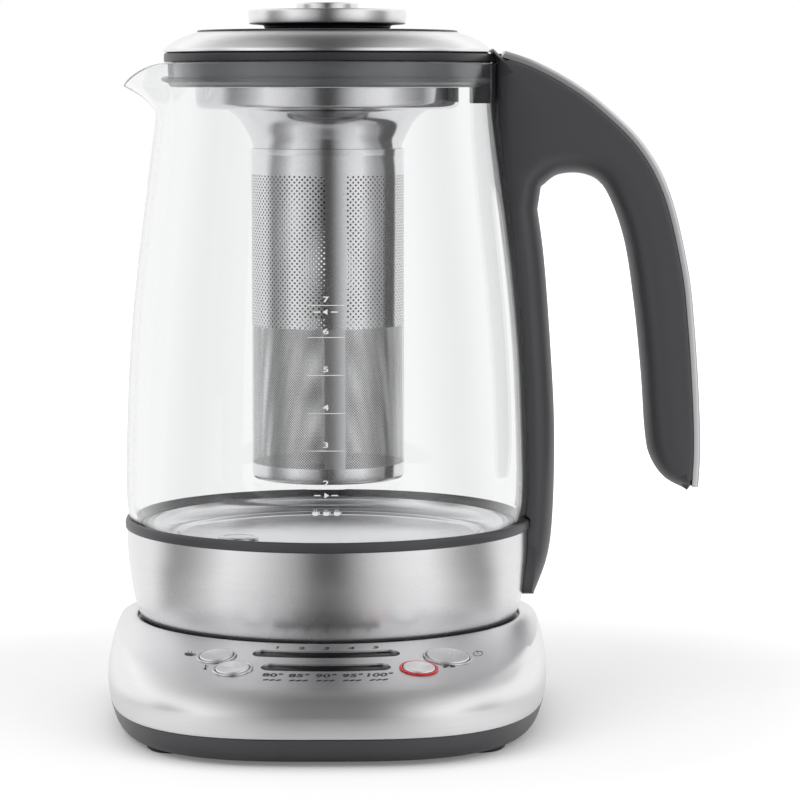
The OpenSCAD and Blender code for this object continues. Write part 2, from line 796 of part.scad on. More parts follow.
module heating_plate() {
    top = [
        [0, plate_z], [plate_flat_r, plate_z], [plate_flat_r + 1.5, plate_z + plate_bead],
        [plate_flat_r + 3, plate_z + plate_bead], [plate_flat_r + 5, plate_z + 0.2],
        [plate_rim_r - 4, plate_z + 0.6], [plate_rim_r - 1.5, plate_z + 2],
        [plate_rim_r, plate_z + plate_rim_rise],
    ];
    under = reversed([for (p = top) [p[0], p[1] - plate_t]]);
    at_axis() color("#d2d3d5") difference() {
        turned_piece(concat(top, under));
        translate([sensor_spot[0], sensor_spot[1], plate_z - 5])
            cylinder(r = sensor_hole_r + seat, h = 10, $fn = 48);
    }
}

module diffuser_plate() {
    at_axis() color("#a9abad") difference() {
        translate([0, 0, plate_z - plate_t - diffuser_t - seat])
            cylinder(r = diffuser_r, h = diffuser_t);
        translate([sensor_spot[0], sensor_spot[1], plate_z - 10])
            cylinder(r = sensor_hole_r + 0.6, h = 20, $fn = 48);
    }
}

module heating_element() {
    gap_angle = 40;
    centre_z = plate_z - plate_t - diffuser_t - 2 * seat - element_tube_r;
    lead = 6;
    at_axis() color("#77797c") {
        rotate([0, 0, 90 + gap_angle / 2])
            rotate_extrude(angle = 360 - gap_angle)
                translate([element_r, centre_z]) circle(r = element_tube_r, $fn = 32);
        for (side = [-1, 1])
            rotate([0, 0, 90 + side * gap_angle / 2])
                translate([element_r, 0, centre_z - lead])
                    cylinder(r = element_tube_r - 0.4, h = lead, $fn = 32);
    }
}

module temp_sensor() {
    at_axis() color("#b4b6b8") translate([sensor_spot[0], sensor_spot[1], 0]) turned_piece([
        [0, plate_z - 6], [sensor_hole_r, plate_z - 6], [sensor_hole_r, plate_z + seat],
        [sensor_r, plate_z + seat], [sensor_r, plate_z + 0.9], [sensor_r - 0.5, plate_z + 1.4],
        [0, plate_z + 1.6],
    ]);
}

// ---------------------------------------------------------------- handle

// A point of the handle's side view: u runs from the glass to the handle's
// reach, v from the grip's free end to the glass rim
function handle_point(u, v) =
    [jug_r + u * (handle_reach - jug_r), grip_end_z + v * (rim_z - grip_end_z)];

function handle_curve(knots, steps) =
    smooth_curve([for (k = knots) handle_point(k[0], k[1])], steps);

// Back of the grip, from the neck to the free end
grip_back = handle_curve([
    [-0.16, 1.028], [0.01, 1.005], [0.23, 0.959], [0.43, 0.901], [0.655, 0.812],
    [0.81, 0.699], [0.917, 0.529], [0.96, 0.388], [0.99, 0.22], [1, 0.1], [0.99, 0.012],
], 3);

// Round the finger gap, from the free end of the grip up to the spine
finger_side = handle_curve([
    [0.93, 0], [0.8, 0.028], [0.715, 0.078], [0.684, 0.14], [0.66, 0.27], [0.615, 0.44],
    [0.55, 0.595], [0.44, 0.707], [0.32, 0.742], [0.16, 0.741], [0.06, 0.712],
], 3);

// Free face of the spine, from the finger gap down to its foot
spine_side = handle_curve([
    [0.04, 0.66], [0.08, 0.544], [0.12, 0.344], [0.146, 0.15], [0.14, -0.04],
    [0.108, -0.156], [0.024, -0.25],
], 3);

// Jug side of the spine, from its foot up to the neck, inside the glass
jug_side = handle_curve([[-0.06, -0.25], [-0.13, -0.2], [-0.2, 0.3], [-0.26, 0.8]], 1);

function counting(first, last) =
    [for (i = first; first < last ? i <= last : i >= last; i = i + sign(last - first)) i];

// Triangles between two rows of point numbers
function strip(p, q) = let (
    at = [for (i = [0 : len(p) - 2]) floor((i + 0.5) * (len(q) - 1) / (len(p) - 1))])
    concat(
        [for (i = [0 : len(p) - 2]) [p[i], p[i + 1], q[at[i]]]],
        [for (j = [0 : len(q) - 2])
            [q[j + 1], q[j], p[len([for (a = at) if (a <= j) a])]]]);

// The side face of the handle, as triangles over its outline's point numbers:
// the arm lies between its back and the finger gap, the spine below them
function handle_side() = let (
    back_end = len(grip_back),
    gap_end = back_end + len(finger_side),
    foot = gap_end + len(spine_side),
    last = foot + len(jug_side))
    concat(
        strip(counting(0, back_end), counting(gap_end, back_end + 1)),
        strip(counting(gap_end, foot), counting(last, foot + 1)),
        [[0, gap_end, last]]);

// The pillow-shaped solid of the handle: its edges roll over to flat sides
module pillow(outline, side_face, half, roll) {
    steps = 4;
    n = len(outline);
    side = [for (k = [0 : steps]) let (a = 90 * k / steps)
        [roll * (1 - sin(a)), half - roll * (1 - cos(a))]];
    levels = concat([for (s = side) [s[0], -s[1]]], [for (s = reversed(side)) [s[0], s[1]]]);
    rings = [for (l = levels) [for (p = drawn_out(outline, -l[0])) [p[0], l[1], p[1]]]];
    points = [for (ring = rings, p = ring) p];
    top = (len(rings) - 1) * n;
    polyhedron(points, concat(
        [for (i = [0 : len(rings) - 2], j = [0 : n - 1], half = [0, 1])
            let (a = i * n + j, b = i * n + (j + 1) % n)
            half == 0 ? [a, a + n, b + n] : [a, b + n, b]],
        side_face,
        [for (t = side_face) [t[2] + top, t[1] + top, t[0] + top]]));
}

module handle_body() {
    // The strip lies flush in the grip's back, so the body is thinner there
    back = moved_left(grip_back, -trim_t - seat);
    outline = concat([handle_point(-0.235, 1.036)], back, finger_side, spine_side, jug_side);
    at_axis() color("#4c4d51") difference() {
        pillow(outline, handle_side(), handle_half, 4);
        jug_saddle(seat);
        hook_bar(seat, 1.5);
    }
}

// Free space between the lid and the handle's top
lid_clear = 0.5;

// Side view of all that the handle lies against: the band, the ring, the glass
// and, over the rim, the space that the lid needs
function seat_line(gap) = concat(
    [for (p = band_outer) [p[0] + gap, p[1]]],
    [[ring_r + gap, band_top_z], [ring_r + gap, ring_top_z + gap]],
    [for (p = glass_outer) if (p[1] > ring_top_z + 2 * gap) [p[0] + gap, p[1]]],
    [[neck_r + gap, rim_z + gap], [lid_r + lid_clear, rim_z + gap],
        [lid_r + lid_clear, rim_z + 2 * spout_height]]);

// The saddle that is cut out of the spine, an arc wide enough for the handle
module jug_saddle(gap) {
    half_angle = 24;
    core_x = neck_r / 2;
    arc = [for (a = [-half_angle : 4 : half_angle]) a];
    skin([for (p = seat_line(gap)) concat(
        [for (a = arc) polar_point(p[0], a, p[1])],
        [[core_x, p[0] * sin(half_angle), p[1]], [core_x, -p[0] * sin(half_angle), p[1]]])]);
}

module handle_trim() {
    half = handle_half - 0.6;
    edge = 1.2;
    section = [[-trim_t, -half], [-0.8, -half], [0, -half + edge], [0, half - edge],
        [-0.8, half], [-trim_t, half]];
    rings = [for (i = [0 : len(grip_back) - 1])
        let (along = unit(grip_back[min(i + 1, len(grip_back) - 1)] - grip_back[max(i - 1, 0)]),
            out = turned(along))
        [for (s = section)
            [grip_back[i][0] + out[0] * s[0], s[1], grip_back[i][1] + out[1] * s[0]]]];
    at_axis() color("#c6c7ca") skin(rings);
}

// The bar over the rim that joins the hook to the handle. Its pocket runs
// deeper, down past the rim, so that no web is left under it
module hook_bar(gap, deeper = 0) {
    low = rim_z + 0.3 - gap - deeper;
    translate([hook_in_x, -hook_half + 2 - gap, low])
        cube([hook_out_x - hook_in_x + gap, 2 * hook_half - 4 + 2 * gap, hook_top_z + gap - low]);
}

module handle_hook() {
    at_axis() color("#35363a") {
        hook_bar(0);
        intersection() {
            translate([hook_in_x, -hook_half, hook_foot_z])
                cube([20, 2 * hook_half, rim_z + 0.4 - hook_foot_z]);
            cylinder(r = inner_neck_r - 0.3, h = rim_z + past);
        }
    }
}

// ---------------------------------------------------------------- basket

// The slot in the holder that straddles the handle's hook
module hook_slot() {
    clear = 0.5;
    translate([hook_in_x - clear, -hook_half - clear, hook_foot_z - past])
        cube([20, 2 * (hook_half + clear), 30]);
}

module basket_holder() {
    at_axis() color("#38393c") difference() {
        turned_piece([
            [throat_r, insert_foot_z], [seal_inner_r, insert_foot_z],
            [seal_inner_r, flange_z], [flange_r, flange_z], [flange_r, flange_top_z - 0.5],
            [flange_r - 0.5, flange_top_z], [throat_r, flange_top_z],
        ]);
        hook_slot();
    }
}

module basket_seal() {
    in_r = seal_inner_r + seat;
    at_axis() color("#b9bcbe") difference() {
        turned_piece([
            [in_r, insert_foot_z], [insert_r - 1, insert_foot_z], [insert_r, insert_foot_z + 1],
            [seal_r, insert_foot_z + 2.2], [seal_r, insert_foot_z + 3], [insert_r, insert_foot_z + 2.8],
            [insert_r, flange_z - seat], [in_r, flange_z - seat],
        ]);
        hook_slot();
    }
}

module basket_collar() {
    funnel_r = tube_r + 7.4;
    rise = collar_foot_z - tube_top_z;
    outer = smooth_curve([
        [tube_r - tube_wall - seat, tube_top_z - 5], [tube_r - tube_wall - seat, tube_top_z + 0.5],
        [tube_r + 1.1, tube_top_z + 0.362 * rise], [tube_r + 3.6, tube_top_z + 0.696 * rise],
        [funnel_r, tube_top_z + 0.935 * rise],
    ], 3);
    rim = [[collar_r - 2.2, collar_foot_z - 0.1], [collar_r - 0.6, collar_foot_z + 0.8],
        [collar_r, collar_foot_z + 2.4], [collar_r, collar_top_z]];
    inner = [[collar_r - collar_t, collar_top_z], [collar_r - collar_t, collar_foot_z + 2.5],
        [collar_r - 2.4, collar_foot_z + 0.8], [funnel_r - 0.2, collar_foot_z]];
    at_axis() color("#d5d6d8") turned_piece(concat(outer, rim, inner,
        reversed([for (p = outer) if (p[1] < collar_foot_z - 2) [p[0] - collar_t, p[1]]])));
}

module basket_tube() {
    at_axis() color("#cdced0") turned_piece([
        [0, tube_foot_z], [tube_r - 1.5, tube_foot_z], [tube_r - 0.4, tube_foot_z + 0.4],
        [tube_r, tube_foot_z + 1.5], [tube_r, tube_top_z],
        [tube_r - tube_wall, tube_top_z], [tube_r - tube_wall, tube_foot_z + 1.6],
        [tube_r - 1.6, tube_foot_z + tube_wall], [0, tube_foot_z + tube_wall],
    ]);
}

// ---------------------------------------------------------------- lid

module lid_body() {
    plug_r = throat_r - 0.6;
    at_axis() color("#303134") turned_piece([
        [0, flange_z + 0.6], [plug_r, flange_z + 0.6], [plug_r, lid_foot_z],
        [lid_r - 1.4, lid_foot_z], [lid_r - 1.4, lid_foot_z + 0.6],
        [disc_r - 0.6, disc_foot_z - 1.2], [disc_r - 0.6, disc_foot_z], [0, disc_foot_z],
    ]);
}

module lid_ring() {
    slope = [[0, 0.026], [0.041, 0.169], [0.207, 0.364], [0.38, 0.532], [0.628, 0.714], [0.975, 0.909]];
    top = smooth_curve(
        [for (s = slope) [lid_r - s[0] * lid_ring_w, lid_foot_z + s[1] * lid_height]], 3);
    under = reversed([for (p = top) [p[0] - 0.35, p[1] - 0.7]]);
    at_axis() color("#c7c8cb") difference() {
        turned_piece(concat(top, under));
        translate([0, 0, lid_foot_z - 5]) cylinder(r = lid_r + past, h = 5);
        lid_space(seat);
    }
}

// The solid of the lid's body, grown by a gap
module lid_space(gap) {
    turned_piece([
        [0, lid_foot_z - past], [lid_r - 1.4 + gap, lid_foot_z - past],
        [lid_r - 1.4 + gap, lid_foot_z + 0.6 + gap], [disc_r - 0.6 + gap, disc_foot_z - 1.2 + gap],
        [disc_r - 0.6 + gap, lid_top_z], [0, lid_top_z],
    ]);
}

module lid_disc() {
    at_axis() color("#242528") difference() {
        turned_piece([
            [0, disc_foot_z + seat], [disc_r, disc_foot_z + seat], [disc_r, lid_top_z - 0.3],
            [disc_r - 0.5, lid_top_z], [0, lid_top_z + 0.4],
        ]);
        translate([0, 0, lid_top_z - 2]) cylinder(r = neck_knob_r - 1, h = 4);
    }
}

module knob_neck() {
    foot = disc_foot_z + seat;
    at_axis() color("#2a2b2e") turned_piece([
        [0, foot], [neck_knob_r - 1 - seat, foot], [neck_knob_r - 1 - seat, lid_top_z + 0.5],
        [neck_knob_r, lid_top_z + 0.9], [neck_knob_r, knob_foot_z - 0.4],
        [knob_r - 1.4, knob_foot_z], [knob_r - 1.4, knob_top_z - 0.5], [raised_disc_r + 0.6, knob_top_z - 0.2],
        [raised_disc_r + 0.6, knob_top_z - 1], [0, knob_top_z - 1],
    ]);
}

module knob_band() {
    at_axis() color("#c9cacc") turned_piece([
        [knob_r - 1.4 + seat, knob_foot_z], [knob_r - 0.6, knob_foot_z], [knob_r, knob_foot_z + 0.6],
        [knob_r, knob_top_z - 0.7], [knob_r - 0.6, knob_top_z], [knob_r - 1.4 + seat, knob_top_z],
    ]);
}

module knob_disc() {
    at_axis() color("#cfd0d2") turned_piece([
        [0, knob_top_z - 1 + seat], [raised_disc_r, knob_top_z - 1 + seat],
        [raised_disc_r, knob_top_z + raised_disc_h - 0.5],
        [raised_disc_r - 0.5, knob_top_z + raised_disc_h], [0, knob_top_z + raised_disc_h],
    ]);
}

// ---------------------------------------------------------------- nodes

base_skirt();
base_cover();
base_deck();
foot(-foot_x, -foot_front_y);  // foot_front_left
foot(foot_x, -foot_front_y);  // foot_front_right
foot(-foot_x, foot_rear_y);  // foot_rear_left
foot(foot_x, foot_rear_y);  // foot_rear_right
base_screw(screw_spots[0]);  // base_screw_1
base_screw(screw_spots[1]);  // base_screw_2
base_screw(screw_spots[2]);  // base_screw_3
cord_gland();
base_connector();
contact_rings();
time_window();
temp_window();
control_board();
time_lights();
temp_lights();
brew_time_bezel();
temp_bezel();
start_timer_bezel();
start_stop_ring();
brew_time_switch();
temp_switch();
start_timer_switch();
start_stop_switch();
brew_time_button();
temp_button();
start_timer_button();
start_stop_button();
jug_socket();
socket_contacts();
jug_glass();
glass_seal();
band_ring();
jug_band();
jug_floor();
heating_plate();
diffuser_plate();
heating_element();
temp_sensor();
handle_body();
handle_trim();
handle_hook();
basket_holder();
basket_seal();
basket_collar();
basket_tube();
lid_body();
lid_ring();
lid_disc();
knob_neck();
knob_band();
knob_disc();
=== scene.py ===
import math

import bmesh
import bpy
from mathutils import Matrix, Vector


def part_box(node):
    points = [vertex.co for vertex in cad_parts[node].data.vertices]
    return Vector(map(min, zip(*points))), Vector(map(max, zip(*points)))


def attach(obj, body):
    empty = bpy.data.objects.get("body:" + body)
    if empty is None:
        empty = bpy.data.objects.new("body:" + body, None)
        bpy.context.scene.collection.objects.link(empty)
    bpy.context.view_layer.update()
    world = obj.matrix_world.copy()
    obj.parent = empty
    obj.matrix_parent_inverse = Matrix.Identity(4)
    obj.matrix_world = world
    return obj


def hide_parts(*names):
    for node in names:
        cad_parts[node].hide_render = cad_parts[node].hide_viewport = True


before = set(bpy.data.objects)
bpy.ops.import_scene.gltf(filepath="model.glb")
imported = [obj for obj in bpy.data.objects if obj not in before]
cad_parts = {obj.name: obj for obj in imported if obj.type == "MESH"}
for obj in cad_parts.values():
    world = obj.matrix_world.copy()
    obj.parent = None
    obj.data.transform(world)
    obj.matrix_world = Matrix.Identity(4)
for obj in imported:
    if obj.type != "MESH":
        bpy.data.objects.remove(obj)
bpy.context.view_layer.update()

# ------------------------------------------------------------------ measures
# Lengths are in millimetres in the jug's axis frame: the origin is where the
# jug's axis meets the ground, X runs to the handle and -Y to the front.

MM = 0.001


def low(node):
    """Height of a node's lowest point."""
    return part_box(node)[0].z / MM


def high(node):
    """Height of a node's highest point."""
    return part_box(node)[1].z / MM


def across(node):
    """Half of a node's breadth, which is its radius if it is round."""
    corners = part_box(node)
    return (corners[1].y - corners[0].y) / 2 / MM


axis_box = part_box("basket_tube")
AXIS = Vector(((axis_box[0].x + axis_box[1].x) / 2, (axis_box[0].y + axis_box[1].y) / 2, 0.0))
AT_AXIS = Matrix.Translation(AXIS) @ Matrix.Scale(MM, 4)

cover_low, cover_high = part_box("base_cover")
HALF_W = (cover_high.x - cover_low.x) / 2 / MM
FRONT = (AXIS.y - cover_low.y) / MM
REAR = (cover_high.y - AXIS.y) / MM
LIP_Z = high("base_cover")
SKIRT_TOP_Z = low("base_cover")
SKIRT_LIFT = low("base_skirt")
BELLY_Z = 16.5
PANEL_SLOPE = math.tan(math.radians(10.6))

JUG_FOOT_Z = low("jug_floor")
BAND_TOP_Z = high("jug_band")
RING_TOP_Z = high("band_ring")
RING_R = across("band_ring")
JUG_R = RING_R - 0.5
GLASS_FOOT_Z = low("jug_glass")
RIM_Z = high("jug_glass")
NECK_IN = 11.7
NECK_R = JUG_R - NECK_IN
GLASS_WALL = 2.3
LIP_R = JUG_R - 1.4
LIP_INNER_R = LIP_R - 2.3

FLANGE_Z = RIM_Z + 0.4
FLANGE_TOP_Z = high("basket_holder")
FLANGE_R = across("basket_holder")
SEAL_FOOT_Z = low("basket_seal")
SEAL_R = across("basket_seal")
COLLAR_R = across("basket_collar")
COLLAR_TOP_Z = high("basket_collar")
TUBE_R = across("basket_tube")
TUBE_TOP_Z = high("basket_tube")
TUBE_FOOT_Z = low("basket_tube")

LID_R = across("lid_ring")
LID_FOOT_Z = low("lid_ring")
DISC_R = across("lid_disc")
LID_TOP_Z = high("lid_ring") + 0.7
KNOB_R = across("knob_band")
KNOB_FOOT_Z = low("knob_band")
KNOB_TOP_Z = high("knob_band")

# The plain strip along the brewing tube's seam
SEAM_AZIMUTH = 275.7
SEAM_W = 7.3

# ------------------------------------------------------------------ camera

FRAME_CENTRE_X = 25.5
FRAME_CENTRE_Z = 107.8
CAMERA_X = 12.4
CAMERA_Y = -1118.3
CAMERA_Z = 218.6
LENS = 142.3
SENSOR_W = 36


def linked(name, data):
    """An object in the scene for a mesh, a curve, a camera or a lamp."""
    made = bpy.data.objects.new(name, data)
    bpy.context.scene.collection.objects.link(made)
    return made


def aimed(name, data, place, aim):
    """A camera or lamp at a place, turned to look at a point."""
    made = linked(name, data)
    made.location = place
    made.rotation_euler = (aim - made.location).to_track_quat("-Z", "Y").to_euler()
    return made


def place_camera():
    """A long lens in front of the jug, a little above its rim."""
    data = bpy.data.cameras.new("photo_camera")
    data.sensor_width = SENSOR_W
    data.lens = LENS
    data.clip_start = 0.05
    stand = AT_AXIS @ Vector((CAMERA_X, CAMERA_Y, CAMERA_Z))
    aim = AT_AXIS @ Vector((FRAME_CENTRE_X, 0, FRAME_CENTRE_Z))
    bpy.context.scene.camera = aimed("photo_camera", data, stand, aim)


place_camera()

# ------------------------------------------------------------------ node helpers


def feed(tree, socket, value):
    """Sets a socket's value, or links it to another socket."""
    if isinstance(value, bpy.types.NodeSocket):
        tree.links.new(value, socket)
    else:
        socket.default_value = value


def make_node(tree, kind, inputs=None, **settings):
    """A node in a tree, with its settings and the values or links of its inputs."""
    made = tree.nodes.new(kind)
    for name, value in settings.items():
        setattr(made, name, value)
    for name, value in (inputs or {}).items():
        feed(tree, made.inputs[name], value)
    return made


def use_group(tree, group, inputs=None):
    """A group placed in a tree, with its own values."""
    return make_node(tree, "ShaderNodeGroup", inputs, node_tree=group)


def math_node(tree, operation, first, second=0.0, third=0.0):
    """The result of one sum on numbers or sockets."""
    inputs = {0: first, 1: second, 2: third}
    return make_node(tree, "ShaderNodeMath", inputs, operation=operation).outputs[0]


def vector_node(tree, operation, first, second=(0, 0, 0)):
    """The result of one sum on vectors."""
    return make_node(tree, "ShaderNodeVectorMath", {0: first, 1: second}, operation=operation).outputs[0]


def scaled(tree, vector, factor):
    """A vector times a number."""
    inputs = {0: vector, "Scale": factor}
    return make_node(tree, "ShaderNodeVectorMath", inputs, operation="SCALE").outputs[0]


def length_of(tree, vector):
    """The length of a vector."""
    return make_node(tree, "ShaderNodeVectorMath", {0: vector}, operation="LENGTH").outputs["Value"]


def split(tree, vector):
    """The X, Y and Z of a vector."""
    return make_node(tree, "ShaderNodeSeparateXYZ", {0: vector}).outputs


def noise(tree, place, scale, detail=2.0, roughness=0.5, distortion=0.0):
    """A cloudy value from 0 to 1."""
    inputs = {"Vector": place, "Scale": scale, "Detail": detail, "Roughness": roughness,
              "Distortion": distortion}
    return make_node(tree, "ShaderNodeTexNoise", inputs).outputs["Fac"]


def map_range(tree, value, start, end, low_value=0.0, high_value=1.0):
    """A value moved from one range to another, and held at its ends."""
    inputs = {"Value": value, "From Min": start, "From Max": end, "To Min": low_value,
              "To Max": high_value}
    return make_node(tree, "ShaderNodeMapRange", inputs).outputs["Result"]


def ramp(tree, value, stops):
    """A colour ramp through (place, grey) stops."""
    made = make_node(tree, "ShaderNodeValToRGB", {"Fac": value})
    elements = made.color_ramp.elements
    while len(elements) < len(stops):
        elements.new(0.5)
    for element, (place, tone) in zip(elements, stops):
        element.position = place
        element.color = grey(tone)
    return made.outputs["Color"]


def mixed(tree, share, first, second):
    """A colour between two, by a share."""
    return make_node(tree, "ShaderNodeMix", {0: share, 6: first, 7: second}, data_type="RGBA").outputs[2]


def grey(level):
    """An even grey as a colour."""
    return (level, level, level, 1)


def new_group(name, inputs, outputs):
    """An empty shader group with named inputs and outputs."""
    tree = bpy.data.node_groups.new(name, "ShaderNodeTree")
    for label, kind, value in inputs:
        socket = tree.interface.new_socket(label, in_out="INPUT", socket_type=kind)
        socket.default_value = value
    for label, kind in outputs:
        tree.interface.new_socket(label, in_out="OUTPUT", socket_type=kind)
    entry = tree.nodes.new("NodeGroupInput")
    leave = tree.nodes.new("NodeGroupOutput")
    return tree, entry.outputs, leave.inputs


FLOAT = "NodeSocketFloat"
VECTOR = "NodeSocketVector"
COLOUR = "NodeSocketColor"


def blend_out(tree, entry, leave, fine, broad, fine_share):
    """Gives a group its tone, from two noises round 1, and returns the blend."""
    both = math_node(tree, "ADD", math_node(tree, "MULTIPLY", fine, fine_share),
                     math_node(tree, "MULTIPLY", broad, 1 - fine_share))
    centred = math_node(tree, "SUBTRACT", both, 0.5)
    tree.links.new(math_node(tree, "MULTIPLY_ADD", centred, entry["Contrast"], 1.0), leave["Tone"])
    return both


def brushing_group():
    """Long fine scratches: tones and heights from a stretched coordinate."""
    tree, entry, leave = new_group(
        "brushing",
        [("Coordinate", VECTOR, (0, 0, 0)), ("Stretch", VECTOR, (20, 20, 2500)),
         ("Contrast", FLOAT, 0.1)],
        [("Tone", FLOAT), ("Height", FLOAT)])
    stretched = vector_node(tree, "MULTIPLY", entry["Coordinate"], entry["Stretch"])
    fine = noise(tree, stretched, 1.0, detail=4.0, roughness=0.65)
    broad = noise(tree, stretched, 0.18)
    tree.links.new(blend_out(tree, entry, leave, fine, broad, 0.65), leave["Height"])
    return tree


def grain_group():
    """Moulded plastic: a fine even grain and a faint cloudiness."""
    tree, entry, leave = new_group(
        "moulded_grain",
        [("Coordinate", VECTOR, (0, 0, 0)), ("Size", FLOAT, 0.0006), ("Contrast", FLOAT, 0.1)],
        [("Tone", FLOAT), ("Height", FLOAT)])
    fine = noise(tree, entry["Coordinate"], math_node(tree, "DIVIDE", 1.0, entry["Size"]))
    cloud = noise(tree, entry["Coordinate"], 35.0, detail=3.0)
    blend_out(tree, entry, leave, fine, cloud, 0.5)
    tree.links.new(fine, leave["Height"])
    return tree


def handling_group():
    """Faint smears that make a finish a little duller here and there."""
    tree, entry, leave = new_group(
        "handling_marks",
        [("Coordinate", VECTOR, (0, 0, 0)), ("Roughness", FLOAT, 0.3), ("Amount", FLOAT, 0.05)],
        [("Roughness", FLOAT)])
    cloud = noise(tree, entry["Coordinate"], 28.0, detail=4.0, distortion=0.4)
    centred = math_node(tree, "SUBTRACT", cloud, 0.5)
    dulled = math_node(tree, "MULTIPLY_ADD", centred, entry["Amount"], entry["Roughness"])
    tree.links.new(dulled, leave["Roughness"])
    return tree


def round_group():
    """Object coordinates bent round the jug's axis, so that a low scale on X
    and Y gives streaks that run round it."""
    tree, _, leave = new_group(
        "round_the_axis", [], [("Coordinate", VECTOR), ("Turn", FLOAT), ("Height", FLOAT)])
    out = vector_node(tree, "SUBTRACT", object_place(tree), AXIS)
    heading = vector_node(tree, "NORMALIZE", vector_node(tree, "MULTIPLY", out, (1, 1, 0)))
    axes = split(tree, out)
    rise = make_node(tree, "ShaderNodeCombineXYZ", {"Z": axes["Z"]}).outputs[0]
    tree.links.new(vector_node(tree, "ADD", scaled(tree, heading, 0.06), rise), leave["Coordinate"])
    forward = math_node(tree, "MULTIPLY", axes["Y"], -1.0)
    tree.links.new(math_node(tree, "ARCTAN2", axes["X"], forward), leave["Turn"])
    tree.links.new(axes["Z"], leave["Height"])
    return tree


def object_place(tree):
    """A point's place on its own piece."""
    return make_node(tree, "ShaderNodeTexCoord").outputs["Object"]


BRUSHING = brushing_group()
GRAIN = grain_group()
HANDLING = handling_group()
ROUND = round_group()

# ------------------------------------------------------------------ materials


def new_material(name, **values):
    """A material with one Principled shader, whose even values are set on its
    own sockets. Returns the material, its tree and its shader."""
    material = bpy.data.materials.new(name)
    material.use_nodes = True
    tree = material.node_tree
    shader = tree.nodes["Principled BSDF"]
    for label, value in values.items():
        shader.inputs[label.replace("_", " ")].default_value = value
    return material, tree, shader


def bumped(tree, shader, height, strength, distance):
    """Raises a surface's detail from a height."""
    inputs = {"Height": height, "Strength": strength, "Distance": distance}
    tree.links.new(make_node(tree, "ShaderNodeBump", inputs).outputs[0], shader.inputs["Normal"])


def toned(tree, shader, colour, tone):
    """Base colour times a tone."""
    tree.links.new(scaled(tree, colour[:3], tone), shader.inputs["Base Color"])


def smeared(tree, shader, roughness, amount):
    """Roughness with faint smears of handling."""
    inputs = {"Coordinate": object_place(tree), "Roughness": roughness, "Amount": amount}
    tree.links.new(use_group(tree, HANDLING, inputs).outputs["Roughness"], shader.inputs["Roughness"])


def brushing(tree, place, stretch, contrast):
    """The tone and height of brushing lines."""
    inputs = {"Coordinate": place, "Stretch": stretch, "Contrast": contrast}
    return use_group(tree, BRUSHING, inputs).outputs


def between_floats(tree, share, first, second):
    """A number between two, by a share."""
    return make_node(tree, "ShaderNodeMix", {0: share, 2: first, 3: second}).outputs[0]


def brushed_steel(name, colour, roughness, round_axis, contrast=0.16, stretch=2400.0, bump=0.05):
    """Satin metal with its brushing lines round the jug's axis, or along X on
    top and round the walls of a piece that isn't round."""
    material, tree, shader = new_material(name, Metallic=1.0, Anisotropic=0.6,
                                          Anisotropic_Rotation=0.25)
    if round_axis:
        around = use_group(tree, ROUND).outputs["Coordinate"]
        lines = brushing(tree, around, (160, 160, stretch), contrast)
        tone, height = lines["Tone"], lines["Height"]
    else:
        place = object_place(tree)
        walls = brushing(tree, place, (9, 9, stretch), contrast)
        top = brushing(tree, place, (9, stretch, 9), contrast)
        upward = split(tree, make_node(tree, "ShaderNodeNewGeometry").outputs["Normal"])["Z"]
        share = map_range(tree, upward, 0.7, 0.95)
        tone = between_floats(tree, share, walls["Tone"], top["Tone"])
        height = between_floats(tree, share, walls["Height"], top["Height"])
    toned(tree, shader, colour, tone)
    smeared(tree, shader, roughness, 0.06)
    bumped(tree, shader, height, bump, 0.0002)
    return material


def polished_steel(name, colour, roughness):
    """Bright steel with faint turning lines and smears."""
    material, tree, shader = new_material(name, Metallic=1.0)
    around = use_group(tree, ROUND).outputs["Coordinate"]
    toned(tree, shader, colour, brushing(tree, around, (120, 120, 1500), 0.05)["Tone"])
    smeared(tree, shader, roughness, 0.05)
    return material


def moulded(name, colour, roughness, size=0.0006, bump=0.12, contrast=0.12, **values):
    """Moulded plastic, rubber or paint with a fine grain."""
    material, tree, shader = new_material(name, **values)
    inputs = {"Coordinate": object_place(tree), "Size": size, "Contrast": contrast}
    grain = use_group(tree, GRAIN, inputs).outputs
    toned(tree, shader, colour, grain["Tone"])
    smeared(tree, shader, roughness, 0.1)
    if bump:
        bumped(tree, shader, grain["Height"], bump, 0.00008)
    return material


def spun_cap(name, colour):
    """A button's face, turned in fine rings round its own middle."""
    material, tree, shader = new_material(name, Metallic=1.0, Anisotropic=0.85)
    turning = make_node(tree, "ShaderNodeAttribute", attribute_name="turning").outputs["Vector"]
    inputs = {"W": length_of(tree, turning), "Scale": 9000.0, "Detail": 2.0}
    rings = make_node(tree, "ShaderNodeTexNoise", inputs, noise_dimensions="1D").outputs["Fac"]
    toned(tree, shader, colour, math_node(tree, "MULTIPLY_ADD", rings, 0.25, 0.875))
    tree.links.new(math_node(tree, "MULTIPLY_ADD", rings, 0.12, 0.22), shader.inputs["Roughness"])
    bumped(tree, shader, rings, 0.12, 0.00005)
    return material


def clear_glass(name):
    """Clear glass, very slightly grey, with the faintest handling marks on it."""
    material, tree, shader = new_material(name, Metallic=0.0, Transmission_Weight=1.0, IOR=1.45)
    cloud = noise(tree, object_place(tree), 20.0, detail=3.0)
    tree.links.new(mixed(tree, cloud, (0.955, 0.959, 0.962, 1), (0.965, 0.968, 0.97, 1)),
                   shader.inputs["Base Color"])
    tree.links.new(math_node(tree, "MULTIPLY", cloud, 0.004), shader.inputs["Roughness"])
    return material


def silicone(name, colour, transmission):
    """Soft see-through rubber."""
    return moulded(name, colour, 0.3, size=0.0012, bump=0.0, contrast=0.06,
                   Transmission_Weight=transmission, IOR=1.41)


